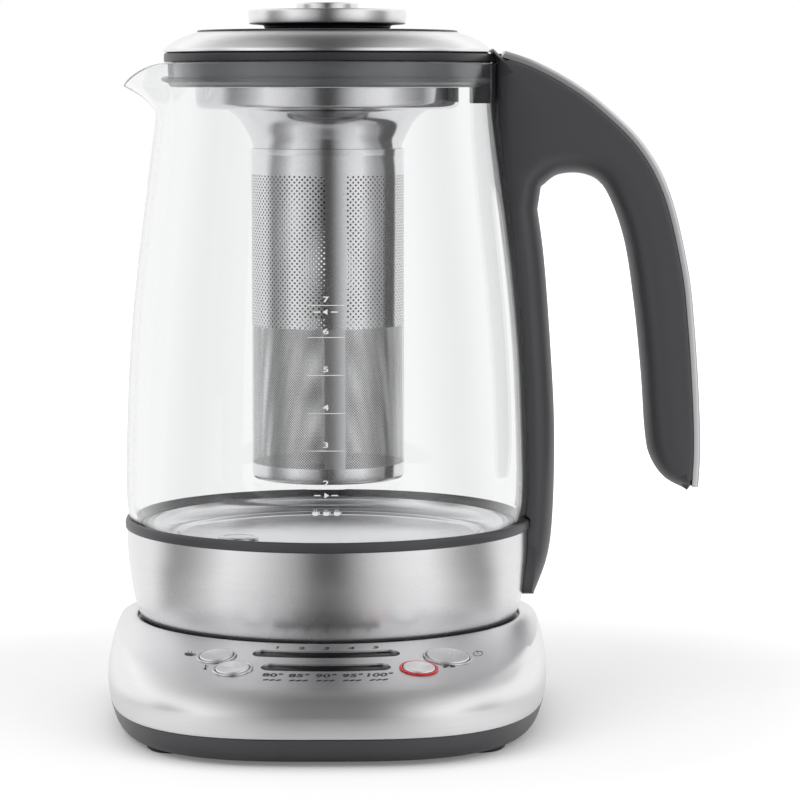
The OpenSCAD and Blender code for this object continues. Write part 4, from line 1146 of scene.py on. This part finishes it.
def spout_share(angle):
    """Share of the spout's reach at an angle, round at its tip."""
    off = abs((angle % 360) - 180) / SPOUT_HALF
    if off >= 1:
        return 0.0
    tip = 0.25
    fall = (math.hypot(off, tip) - tip) / (math.hypot(1, tip) - tip)
    return (1 - fall) ** 1.3


def glass_ring(radius, z):
    """A ring of the glass, drawn out and down into the spout near the rim."""
    def ring(angle):
        share = spout_share(angle)
        if z <= SPOUT_LOW_Z or share == 0:
            return radius, z
        rise = (z - SPOUT_LOW_Z) / (RIM_Z - SPOUT_LOW_Z)
        return (radius + SPOUT_OUT * share * rise ** SPOUT_FLARE,
                z - SPOUT_DROP * share ** 1.7 * rise)
    return ring


def make_glass():
    """The glass with its spout: one even wall with a round rim."""
    drops = (15, 13, 11, 9.2, 7.6, 6.2, 5, 3.8, 2.6, 1.5, 0.7, 0)
    rings = [glass_ring(point.x, point.y) for point in GLASS_CURVE if point.y < RIM_Z - 15.5]
    rings += [glass_ring(NECK_R, RIM_Z - drop) for drop in drops]
    piece = as_piece("glass_wall", lofted_mesh(rings, 288), "jug", CLEAR_GLASS, ["jug_glass"])
    modified(piece, "SOLIDIFY", thickness=GLASS_WALL * MM, offset=-1, use_even_offset=True)
    modified(piece, "BEVEL", width=0.8 * MM, segments=4, limit_method="ANGLE",
             angle_limit=math.radians(55))
    shade(piece, 60)


def limit_mark(turn):
    """A triangle between two short strokes, for the most and the least."""
    return icon([dot(0, 0, 1.1, 3, turn), bar(-2.9, 0, 2.2, 0.4), bar(2.9, 0, 2.2, 0.4)])


GAUGE_LEVELS = {7: 146.2, 6: 135.6, 5: 123.0, 4: 110.3, 3: 97.8, 2: 85.0}
GAUGE_CUPS_Z = 77.0


def make_gauge():
    """White numbers and lines on the front of the glass."""
    marks = []
    for number, z in GAUGE_LEVELS.items():
        marks.append((icon([bar(0, 0, 12.4, 0.22)]), 0, z))
        marks.append((written(str(number), 1.8, 1.6, 0.0, 0.05), 0, z + 1.9))
    marks += [(limit_mark(90), 0, GAUGE_LEVELS[7] - 2.2), (limit_mark(-90), 0, GAUGE_LEVELS[2] - 2.1)]
    marks += [(cup(2.9), x, GAUGE_CUPS_Z) for x in (-3.6, 0, 3.6)]
    as_piece("gauge_marks", laid(marks, on_glass), "jug", WHITE_PRINT, merge=False)


def on_glass(x, z, height):
    """A point on the front of the glass: x round it and z up it."""
    radius = glass_radius(z)
    return polar(radius + height + 0.02, 270 + math.degrees(x / radius), z)


def band_point(inset, share):
    """A point of the band, by how far in it lies and its share of the height."""
    return JUG_R - inset, JUG_FOOT_Z + share * (BAND_TOP_Z - JUG_FOOT_Z)


BAND_KNOTS = [(9.1, 0.018), (6.1, 0.053), (4.1, 0.141), (2.4, 0.317), (1.2, 0.551), (0.4, 0.757), (0.1, 1)]
BAND_CURVE = smooth_curve([band_point(*knot) for knot in BAND_KNOTS], 5)


def make_band():
    """The brushed band round the jug's foot and the dark ring over it."""
    outline = BAND_CURVE + moved_in(BAND_CURVE, 0.8)[::-1]
    turned("foot_band", outline, "jug", BRUSHED_BAND, ["jug_band"], steps=192)
    foot_z = BAND_TOP_Z + 0.1
    levels = (foot_z, BAND_TOP_Z + 1.8, RING_TOP_Z - 0.9, RING_TOP_Z)
    inner = [(glass_radius(z) + 0.12, z) for z in levels]
    outline = [inner[0], (RING_R - 0.1, foot_z, 0.4), (RING_R, RING_TOP_Z - 1, 0.9),
               (RING_R - 0.6, RING_TOP_Z, 0.4), inner[3], inner[2], inner[1]]
    turned("dark_ring", outline, "jug", RING_GREY, ["band_ring"], steps=192)


PLATE_RISE = 5.2
PLATE_Z = high("heating_plate") - PLATE_RISE


def make_plate():
    """The pressed heating plate: a flat middle, a bead and a dished edge."""
    flat_r = JUG_R - 18.7
    rim_r = JUG_R - 7.2
    knots = [(flat_r - 1.2, 0), (flat_r + 0.1, 0.25), (flat_r + 1.5, 1.0), (flat_r + 3, 0.95),
             (flat_r + 4.4, 0.2), (rim_r - 5.2, 0.1), (rim_r - 3.4, 0.7), (rim_r - 1.5, 2.1),
             (rim_r - 0.4, 3.8), (rim_r, PLATE_RISE)]
    top = [Vector((reach, PLATE_Z)) for reach in (0, 20, 40)]
    top += smooth_curve([(reach, PLATE_Z + rise) for reach, rise in knots], 4)
    under = moved_in(top, -0.6)
    under[0].x = 0
    piece = turned("pressed_plate", top + under[::-1], "jug", PLATE_STEEL, ["heating_plate"],
                   closed=False, steps=192)
    hole_r = across("temp_sensor") - 1.5
    cut_out(piece, [hole_cutter(node_centre("temp_sensor"), hole_r, PLATE_Z - 5, PLATE_Z + 5)], 30)


def make_sensor():
    """The round sensor cap in the plate, with a fine groove."""
    centre = node_centre("temp_sensor")
    radius = across("temp_sensor")
    stem_r = radius - 1.6
    outline = [(0, -6), (stem_r, -6), (stem_r, 0.1), (radius, 0.1, 0.1), (radius, 0.9, 0.2),
               (radius - 0.5, 1.4, 0.3), (stem_r, 1.5), (radius - 1.8, 1.3), (radius - 2.2, 1.3),
               (radius - 2.4, 1.5), (0, 1.6)]
    turned("sensor_cap", [(reach, PLATE_Z + rise, *rounding) for reach, rise, *rounding in outline],
           "jug", RING_STEEL, ["temp_sensor"], closed=False, steps=96,
           place=AT_AXIS @ Matrix.Translation((centre.x, centre.y, 0)))


# ------------------------------------------------------------------ handle

TRIM_REACH = (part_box("handle_trim")[1].x - AXIS.x) / MM
HANDLE_HALF = across("handle_body")
GRIP_END_LIFT = 12.8
GRIP_END_Z = BAND_TOP_Z + GRIP_END_LIFT
TRIM_T = 2.4


def handle_point(u, v):
    """A point of the side view: u from the jug's widest to the strip's reach,
    v from the grip's free end to the glass rim."""
    return Vector((JUG_R + u * (TRIM_REACH - JUG_R), GRIP_END_Z + v * (RIM_Z - GRIP_END_Z)))


def handle_curve(knots, steps):
    return smooth_curve([handle_point(*knot) for knot in knots], steps)


GRIP_BACK = handle_curve([(-0.16, 1.028), (0.01, 1.005), (0.23, 0.959), (0.43, 0.901), (0.655, 0.812),
                          (0.81, 0.699), (0.917, 0.529), (0.96, 0.388), (0.99, 0.22), (1, 0.1),
                          (0.99, 0.012)], 7)
FINGER_SIDE = handle_curve([(0.93, 0), (0.8, 0.028), (0.715, 0.078), (0.684, 0.14), (0.66, 0.27),
                            (0.615, 0.44), (0.55, 0.595), (0.44, 0.707), (0.32, 0.742), (0.16, 0.741),
                            (0.06, 0.712)], 7)
SPINE_SIDE = handle_curve([(0.04, 0.66), (0.08, 0.544), (0.12, 0.344), (0.146, 0.15), (0.14, -0.04),
                           (0.108, -0.156), (0.024, -0.25)], 7)
JUG_SIDE = handle_curve([(-0.05, -0.25), (-0.13, -0.15), (-0.19, 0.3), (-0.24, 0.8), (-0.235, 1.036)], 10)


def inward(outline, i):
    """The direction into a clockwise closed outline at one of its points."""
    along = outline[(i + 1) % len(outline)] - outline[i - 1]
    return Vector((along.y, -along.x)).normalized()


def inner_radii(outline, most):
    """At each point, the largest circle inside the outline that touches it
    there, evened out along the outline."""
    near = 1.5
    radii = []
    for i, point in enumerate(outline):
        into = inward(outline, i)
        radius = most
        for other in outline:
            toward = other - point
            if toward.length > near and into.dot(toward) > 0.01:
                radius = min(radius, toward.length_squared / (2 * into.dot(toward)))
        radii.append(radius)
    count = len(radii)
    least = [min(radii[(i + step) % count] for step in range(-2, 3)) for i in range(count)]
    return [sum(least[(i + step) % count] for step in range(-2, 3)) / 5 for i in range(count)]


def rolled(share):
    """The fall of a rounded edge: 1 at its outer end and 0 at its inner end."""
    return 1 - math.sqrt(1 - (1 - min(share, 1.0)) ** 2)


def pillow_mesh(outline, half, rolls):
    """A closed bmesh over an outline in the XZ plane. Each point's roll gives
    how far the edge's rounding runs in there, and how far it falls."""
    shares = (0, 0.02, 0.06, 0.12, 0.2, 0.3, 0.41, 0.53, 0.66, 0.8)
    radii = inner_radii(outline, 14.0)
    mesh_data = bmesh.new()
    order = mesh_data.verts.layers.int.new("order")
    verts = [mesh_data.verts.new((point.x, 0, point.y)) for point in outline]
    for i, vert in enumerate(verts):
        vert[order] = i
    middle = [mesh_data.edges.new((verts[i - 1], verts[i])) for i in range(len(verts))]
    for side in (-1, 1):
        edges = middle
        for share in shares:
            grown = bmesh.ops.extrude_edge_only(mesh_data, edges=edges)["geom"]
            edges = [edge for edge in only_edges(grown) if edge.is_boundary]
            for vert in only_verts(grown):
                i = vert[order]
                run, fall = rolls[i]
                place = outline[i] + inward(outline, i) * radii[i] * share
                vert.co = (place.x, side * (half - fall * rolled(radii[i] * share / run)), place.y)
        bmesh.ops.triangle_fill(mesh_data, edges=edges, use_beauty=True)
    bmesh.ops.recalc_face_normals(mesh_data, faces=mesh_data.faces)
    return in_place(mesh_data)


def seat_outline(gap):
    """Side view of what the handle lies against, with a gap."""
    outline = [(0, JUG_FOOT_Z - 4), (BAND_CURVE[0].x + gap, JUG_FOOT_Z - 4)]
    outline += [(point.x + gap, point.y) for point in BAND_CURVE]
    outline += [(RING_R + gap, BAND_TOP_Z), (RING_R + gap, RING_TOP_Z + gap)]
    outline += [(point.x + gap, point.y) for point in GLASS_CURVE if RING_TOP_Z + 1 < point.y < RIM_Z]
    outline += [(NECK_R + gap, RIM_Z + gap), (LID_R + 0.5, RIM_Z + gap), (LID_R + 0.5, RIM_Z + 40),
                (0, RIM_Z + 40)]
    return outline


def evened(values, reach):
    """Number pairs round a loop, each averaged with its neighbours."""
    count = len(values)
    steps = range(-reach, reach + 1)
    return [tuple(sum(values[(i + step) % count][part] for step in steps) / len(steps) for part in (0, 1))
            for i in range(count)]


def make_handle():
    """The moulded handle, flush with its steel strip along the back and
    rounded towards the fingers."""
    back = moved_in(GRIP_BACK, -(TRIM_T + 0.1))
    outline = back + FINGER_SIDE + SPINE_SIDE + JUG_SIDE
    flush = (1.5, 0.7)
    rounded = (8.0, HANDLE_HALF - 0.4)
    rolls = [flush] * len(back) + [rounded] * (len(outline) - len(back))
    mesh_data = pillow_mesh(outline, HANDLE_HALF, evened(rolls, 2))
    piece = as_piece("handle_shell", mesh_data, "jug", HANDLE_GREY, ["handle_body"])
    cut_out(piece, [turned_mesh(seat_outline(0.12), closed=False, steps=192)], 34)
    make_trim()


def make_trim():
    """The flush steel strip along the handle's back."""
    outline = GRIP_BACK + moved_in(GRIP_BACK, -TRIM_T)[::-1]
    half = HANDLE_HALF - 0.6
    mesh_data = bmesh.new()
    verts = [mesh_data.verts.new((point.x, -half, point.y)) for point in outline]
    for i in range(len(verts)):
        mesh_data.edges.new((verts[i - 1], verts[i]))
    for i in range(len(GRIP_BACK) - 1):
        mesh_data.faces.new((verts[i], verts[i + 1], verts[-2 - i], verts[-1 - i]))
    drawn_out(mesh_data, (0, 2 * half, 0))
    bmesh.ops.recalc_face_normals(mesh_data, faces=mesh_data.faces)
    outer = {(round(point.x, 4), round(point.y, 4)) for point in GRIP_BACK}
    long_edges = [edge for edge in mesh_data.edges
                  if all((round(vert.co.x, 4), round(vert.co.z, 4)) in outer for vert in edge.verts)
                  and abs(edge.verts[0].co.y - edge.verts[1].co.y) < 0.01]
    bevelled(mesh_data, long_edges, 1.1, 4)
    as_piece("grip_strip", in_place(mesh_data), "jug", TRIM_STEEL, ["handle_trim"])


# ------------------------------------------------------------------ basket


def make_holder():
    """The dark holder over the rim and the soft seal round it."""
    throat_r = COLLAR_R - 10.4
    insert_r = SEAL_R - 3
    seal_in = insert_r - 4
    holder = [(throat_r, SEAL_FOOT_Z), (seal_in, SEAL_FOOT_Z), (seal_in, FLANGE_Z), (FLANGE_R, FLANGE_Z, 0.3),
              (FLANGE_R, FLANGE_TOP_Z, 0.9), (throat_r, FLANGE_TOP_Z, 0.4)]
    seal = [(seal_in + 0.1, SEAL_FOOT_Z), (insert_r - 0.8, SEAL_FOOT_Z, 0.4),
            (insert_r, SEAL_FOOT_Z + 0.9, 0.4), (SEAL_R - 0.3, SEAL_FOOT_Z + 1.7, 0.5),
            (SEAL_R, SEAL_FOOT_Z + 2.9, 0.4),
            (insert_r, SEAL_FOOT_Z + 3.4, 0.6), (insert_r, FLANGE_Z - 0.1), (seal_in + 0.1, FLANGE_Z - 0.1)]
    for name, outline, material, node, slot in (
            ("insert_holder", holder, HOLDER_BLACK, "basket_holder", "dark_plastic"),
            ("rim_seal", seal, SEAL_GREY, "basket_seal", "clear_silicone")):
        cut_out(turned(name, outline, "basket", material, [node]), [hook_cutter()], 32)


def hook_cutter():
    """The slot that straddles the handle's hook."""
    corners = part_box("handle_hook")
    near, far = (corners[0] - AXIS) / MM, (corners[1] - AXIS) / MM
    mesh_data = bmesh.new()
    bmesh.ops.create_cube(mesh_data, size=1.0)
    size = Vector((20, far.y - near.y + 1, 30))
    centre = Vector((near.x - 0.5 + size.x / 2, 0, near.z - 1 + size.z / 2))
    bmesh.ops.scale(mesh_data, vec=size, verts=mesh_data.verts)
    bmesh.ops.translate(mesh_data, vec=centre, verts=mesh_data.verts)
    return in_place(mesh_data)


def make_collar():
    """The steel funnel and the deep rim over it."""
    foot_z = COLLAR_TOP_Z - 7.5
    rise = foot_z - TUBE_TOP_Z
    funnel_r = TUBE_R + 7.4
    inner_r = TUBE_R - 0.7
    knots = [(inner_r, TUBE_TOP_Z - 5), (inner_r, TUBE_TOP_Z + 0.6),
             (TUBE_R + 1.1, TUBE_TOP_Z + 0.362 * rise), (TUBE_R + 3.7, TUBE_TOP_Z + 0.696 * rise),
             (funnel_r, TUBE_TOP_Z + 0.93 * rise), (funnel_r + 2.4, foot_z - 0.25),
             (COLLAR_R - 3.6, foot_z - 0.05), (COLLAR_R - 1.4, foot_z + 0.35),
             (COLLAR_R - 0.3, foot_z + 1.4), (COLLAR_R, foot_z + 3.0), (COLLAR_R, COLLAR_TOP_Z)]
    outer = smooth_curve(knots, 4)
    inner = moved_in(outer, 0.8)
    inner[-1].y = COLLAR_TOP_Z
    turned("steel_funnel", outer + inner[::-1], "basket", BRIGHT_STEEL, ["basket_collar"],
           steps=192)


HOLE_PITCH = 1.92
HOLE_R = 0.4
HOLES_TOP_Z = 188.0
HOLES_LOW_Z = 134.9
SIEVE_LOW_Z = 86.2
TUBE_WALL = 0.6


def hole_cell(width, height):
    """A flat rectangle, middle at the origin, with a six-sided hole in it."""
    mesh_data = bmesh.new()
    bmesh.ops.create_circle(mesh_data, segments=6, radius=HOLE_R)
    w, h = width / 2, height / 2
    border = [mesh_data.verts.new((x, y, 0)) for x, y in
              ((-w, 0), (-w, -h), (0, -h), (w, -h), (w, 0), (w, h), (0, h), (-w, h))]
    edges = mesh_data.edges[:] + [mesh_data.edges.new((border[i - 1], border[i])) for i in range(8)]
    bmesh.ops.bridge_loops(mesh_data, edges=edges)
    return mesh_data


def make_tube():
    """The brewing tube: a sheet with staggered holes rolled up along a seam,
    a fine sieve under it and a plain cup at its foot."""
    rows = round((HOLES_TOP_Z - HOLES_LOW_Z) / (HOLE_PITCH / 2))
    row_h = (HOLES_TOP_Z - HOLES_LOW_Z) / rows
    sheet_w = math.tau * TUBE_R - SEAM_W
    columns = round(sheet_w / HOLE_PITCH)
    cell_w = sheet_w / columns
    sheet = hole_cell(cell_w, row_h)
    repeated(sheet, [(cell_w * column, 0, 0) for column in range(1, columns)])
    repeated(sheet, [(cell_w / 2 * (number % 2), row_h * number, 0) for number in range(1, rows)])
    bmesh.ops.remove_doubles(sheet, verts=sheet.verts, dist=1e-3)
    close_seam(sheet, columns, cell_w, row_h, rows)
    start = SEAM_AZIMUTH + math.degrees((SEAM_W / 2 + cell_w / 2) / TUBE_R)
    for vert in sheet.verts:
        turn = start + math.degrees(vert.co.x / TUBE_R)
        vert.co = AT_AXIS @ polar(TUBE_R, turn, HOLES_LOW_Z + row_h / 2 + vert.co.y)
    bmesh.ops.remove_doubles(sheet, verts=sheet.verts, dist=1e-6)
    piece = as_piece("brew_tube", sheet, "basket", TUBE_STEEL, ["basket_tube"])
    # The wall's inner faces get the dark steel: painted shade of the tube's inside
    piece.data.materials.append(TUBE_INSIDE_PAINTED_SHADE)
    modified(piece, "SOLIDIFY", thickness=TUBE_WALL * MM, offset=-1, material_offset=1)
    shade(piece, 40)
    make_tube_ends()


def close_seam(sheet, columns, cell_w, row_h, rows):
    """Plain metal along the seam, row by row, where the sheet's edges meet."""
    steps = 5
    for number in range(rows):
        right = cell_w * (columns - 0.5) + cell_w / 2 * (number % 2)
        for level in (-row_h / 2, 0):
            y = row_h * number + level
            verts = []
            for step in range(steps + 1):
                x = right + SEAM_W * step / steps
                verts += [sheet.verts.new((x, y, 0)), sheet.verts.new((x, y + row_h / 2, 0))]
            for step in range(steps):
                a, b, c, d = verts[2 * step:2 * step + 4]
                sheet.faces.new((a, c, d, b))


def make_tube_ends():
    """Plain rolled metal over and under the holes, and the sieve between."""
    inner = TUBE_R - TUBE_WALL
    bead_r = TUBE_R + 0.12
    top = [(inner, HOLES_TOP_Z), (TUBE_R, HOLES_TOP_Z), (TUBE_R, TUBE_TOP_Z - 2.6),
           (bead_r, TUBE_TOP_Z - 2.4), (bead_r, TUBE_TOP_Z - 2.0), (TUBE_R, TUBE_TOP_Z - 1.8),
           (TUBE_R, TUBE_TOP_Z, 0.15), (inner, TUBE_TOP_Z)]
    turned("tube_top", top, "basket", TUBE_STEEL)
    sieve = [(inner, SIEVE_LOW_Z), (TUBE_R, SIEVE_LOW_Z), (TUBE_R, HOLES_LOW_Z), (inner, HOLES_LOW_Z)]
    piece = turned("fine_sieve", sieve, "basket", SIEVE_STEEL)
    # The sieve's inward faces get the dark steel: painted shade of the tube's inside
    piece.data.materials.append(SIEVE_INSIDE_PAINTED_SHADE)
    for face in piece.data.polygons:
        face.material_index = 1 if face.normal.xy.dot((face.center - AXIS).xy) < 0 else 0
    foot = [(0, TUBE_FOOT_Z), (TUBE_R - 2.2, TUBE_FOOT_Z), (TUBE_R, TUBE_FOOT_Z, 1.3), (TUBE_R, SIEVE_LOW_Z),
            (inner, SIEVE_LOW_Z), (inner, TUBE_FOOT_Z + 0.6, 0.8), (0, TUBE_FOOT_Z + 0.6)]
    turned("tube_foot", foot, "basket", TUBE_STEEL, closed=False)


# ------------------------------------------------------------------ lid


def make_lid():
    """The domed steel ring, its dark disc and the knob."""
    height = LID_TOP_Z - LID_FOOT_Z
    width = LID_R - DISC_R
    shares = [(0, 0.03), (0.012, 0.10), (0.041, 0.169), (0.207, 0.364), (0.38, 0.532),
              (0.628, 0.714), (0.975, 0.909)]
    top = smooth_curve([(LID_R - share * width, LID_FOOT_Z + rise * height) for share, rise in shares], 5)
    under = moved_in(top, 0.7)
    under[0].y = top[0].y
    turned("lid_dome", top + under[::-1], "lid", BRUSHED_LID, ["lid_ring"], steps=192)
    neck_r = KNOB_R - 5.5
    disc_foot_z = LID_TOP_Z - 1.3
    disc = [(neck_r - 1, disc_foot_z), (DISC_R, disc_foot_z), (DISC_R, LID_TOP_Z, 0.35),
            (DISC_R * 0.7, LID_TOP_Z + 0.22), (neck_r - 1, LID_TOP_Z + 0.3)]
    turned("dark_disc", disc, "lid", LID_BLACK, ["lid_disc"])
    raised_r = across("knob_disc")
    neck = [(0, disc_foot_z), (neck_r - 1.1, disc_foot_z), (neck_r - 1.1, LID_TOP_Z + 0.5),
            (neck_r, LID_TOP_Z + 0.9, 0.3), (neck_r, KNOB_FOOT_Z - 0.4, 0.6), (KNOB_R - 1.6, KNOB_FOOT_Z),
            (KNOB_R - 1.6, KNOB_TOP_Z - 0.5, 0.3), (raised_r + 0.6, KNOB_TOP_Z - 0.2, 0.1),
            (raised_r + 0.6, KNOB_TOP_Z - 1), (0, KNOB_TOP_Z - 1)]
    turned("knob_grip", neck, "lid", LID_BLACK, ["knob_neck"], closed=False)
    band = [(KNOB_R - 1.3, KNOB_FOOT_Z), (KNOB_R - 0.2, KNOB_FOOT_Z, 0.5), (KNOB_R, KNOB_TOP_Z, 0.8),
            (KNOB_R - 1.3, KNOB_TOP_Z, 0.15)]
    turned("knob_rim", band, "lid", BRUSHED_LID, ["knob_band"])
    top_z = high("knob_disc")
    raised = [(0, KNOB_TOP_Z - 0.9), (raised_r, KNOB_TOP_Z - 0.9), (raised_r, top_z, 0.6),
              (raised_r - 2.2, top_z - 0.1), (0, top_z - 0.15)]
    turned("knob_button", raised, "lid", BRUSHED_LID, ["knob_disc"], closed=False,
           steps=96)


# ------------------------------------------------------------------ inner pieces

KEPT = [
    (RUBBER, FEET),
    (SCREW_STEEL, SCREWS),
    (SOCKET_BLACK, ["cord_gland", "base_connector", "jug_socket"] + [name + "_switch" for name in BUTTONS]),
    (CONTACT_BRASS, ["contact_rings", "socket_contacts"]),
    (BOARD_GREEN, ["control_board"]),
    (LAMP_WHITE, ["time_lights", "temp_lights"]),
    (FOOT_SEAL, ["glass_seal"]),
    (HOLDER_BLACK, ["jug_floor", "handle_hook"]),
    (PLATE_ALUMINIUM, ["diffuser_plate", "heating_element"]),
    (LID_BLACK, ["lid_body"]),
]


def finish_kept_nodes():
    """Gives the CAD nodes that stay their own materials."""
    for material, names in KEPT:
        for name in names:
            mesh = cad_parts[name].data
            mesh.materials.clear()
            mesh.materials.append(material)


make_cover()
make_skirt()
make_deck()
make_windows()
make_buttons()
make_panel_marks()
make_glass()
make_gauge()
make_band()
make_plate()
make_sensor()
make_handle()
make_holder()
make_collar()
make_tube()
make_lid()
finish_kept_nodes()

# ------------------------------------------------------------------ studio


def area_light(name, offset, width, power):
    """A soft square lamp that metal and glass don't mirror, in metres from the
    foot of the jug's axis and in watts."""
    data = bpy.data.lights.new(name, "AREA")
    data.shape = "RECTANGLE"
    data.size, data.size_y = width, width
    data.energy = power
    lamp = aimed(name, data, AXIS + Vector(offset), AT_AXIS @ Vector((0, 0, LAMPS_AIM_Z)))
    lamp.visible_glossy = False
    lamp.visible_transmission = False


def studio_group():
    """Tone of the studio in a direction: a dark gap from the camera up over
    the top, pale walls on both sides and a white backdrop."""
    tree, entry, leave = new_group("studio_tones", [("Direction", VECTOR, (0, 0, 1))], [("Tone", COLOUR)])
    axes = split(tree, entry["Direction"])
    sides = ramp(tree, math_node(tree, "MULTIPLY_ADD", axes["X"], 0.5, 0.5), STUDIO_SIDES)
    backdrop = ramp(tree, axes["Z"], STUDIO_BACKDROP)
    behind = map_range(tree, axes["Y"], 0.0, 0.3)
    below_top = map_range(tree, axes["Z"], 0.5, 0.7, 1.0, 0.0)
    share = math_node(tree, "MULTIPLY", behind, below_top)
    tree.links.new(mixed(tree, share, sides, backdrop), leave["Tone"])
    return tree


def mirrored_share(tree, path):
    """1 where metal mirrors or glass lets through, and 0 elsewhere."""
    return math_node(tree, "MAXIMUM", path["Is Glossy Ray"], path["Is Transmission Ray"])


# Distances from the jug's axis, in metres, between which the floor brightens
# to white for the camera and turns to the studio's tones for metal and glass.
# Its glow is weakest next to the jug, which paints shade on the floor round it, over the real shadow.
GLOW_FROM, GLOW_TO = 0.16, 0.7
PAINTED_SHADE_NEAR_GLOW = 0.16
TONES_FROM, TONES_TO = 0.1, 0.2


def make_floor():
    """A white floor that keeps the shadow, with painted shade round the jug where
    its glow is weaker. Metal and glass see the studio's walls in it from a little way off."""
    mesh_data = bmesh.new()
    bmesh.ops.create_grid(mesh_data, x_segments=8, y_segments=8, size=6.0)
    floor = linked("floor", as_mesh("floor", mesh_data))
    material, tree, shader = new_material("floor_white", Roughness=1.0, Specular_IOR_Level=0.0,
                                          Emission_Color=grey(1.0))
    out = vector_node(tree, "SUBTRACT", object_place(tree), AXIS)
    distance = length_of(tree, out)
    speckle = noise(tree, out, 4.0)
    tree.links.new(mixed(tree, speckle, grey(0.86), grey(0.88)), shader.inputs["Base Color"])
    path = make_node(tree, "ShaderNodeLightPath").outputs
    # Weaker glow near the jug: painted shade on the floor round it
    glow = map_range(tree, distance, GLOW_FROM, GLOW_TO, PAINTED_SHADE_NEAR_GLOW, 1.0)
    to_camera = math_node(tree, "MULTIPLY", path["Is Camera Ray"], glow)
    tree.links.new(to_camera, shader.inputs["Emission Strength"])
    heading = vector_node(tree, "NORMALIZE", out)
    tone = use_group(tree, STUDIO, {"Direction": heading}).outputs["Tone"]
    walls = make_node(tree, "ShaderNodeEmission", {"Color": tone}).outputs[0]
    far = map_range(tree, distance, TONES_FROM, TONES_TO)
    share = math_node(tree, "MULTIPLY", far, mirrored_share(tree, path))
    surface = make_node(tree, "ShaderNodeMixShader", {0: share, 1: shader.outputs[0], 2: walls}).outputs[0]
    tree.links.new(surface, tree.nodes["Material Output"].inputs["Surface"])
    floor.data.materials.append(material)


def make_world():
    """White to the camera. Metal and glass see pale walls all round, with a
    dark gap where the camera stands."""
    world = bpy.data.worlds.new("studio")
    bpy.context.scene.world = world
    world.use_nodes = True
    tree = world.node_tree
    path = make_node(tree, "ShaderNodeLightPath").outputs
    heading = make_node(tree, "ShaderNodeTexCoord").outputs["Generated"]
    studio = use_group(tree, STUDIO, {"Direction": heading}).outputs["Tone"]
    lit = mixed(tree, mirrored_share(tree, path), grey(0.5), studio)
    white = mixed(tree, path["Is Camera Ray"], lit, grey(1.0))
    tree.links.new(white, tree.nodes["Background"].inputs["Color"])


# Tones across the studio from its far left (0) to its far right (1), and up
# the backdrop
STUDIO_SIDES = [(0.0, 0.3), (0.04, 0.62), (0.1, 1.08), (0.2, 0.88), (0.29, 0.62), (0.37, 0.42),
                (0.44, 0.12), (0.5, 0.07), (0.56, 0.12), (0.64, 0.46), (0.71, 0.76), (0.8, 0.98),
                (0.9, 1.1), (0.96, 0.62), (1.0, 0.3)]
STUDIO_BACKDROP = [(0.0, 1.0), (0.18, 1.0), (0.3, 0.95), (0.42, 1.15), (0.7, 1.0)]
STUDIO = studio_group()
LAMPS_AIM_Z = 100

make_floor()
make_world()
area_light("key_left", (-1.3, -1.0, 1.5), 1.6, 13)
area_light("fill_right", (1.5, -1.0, 1.1), 1.6, 10)
area_light("top", (0, 0.2, 1.9), 2.2, 14)

bpy.context.scene.view_settings.view_transform = "Standard"
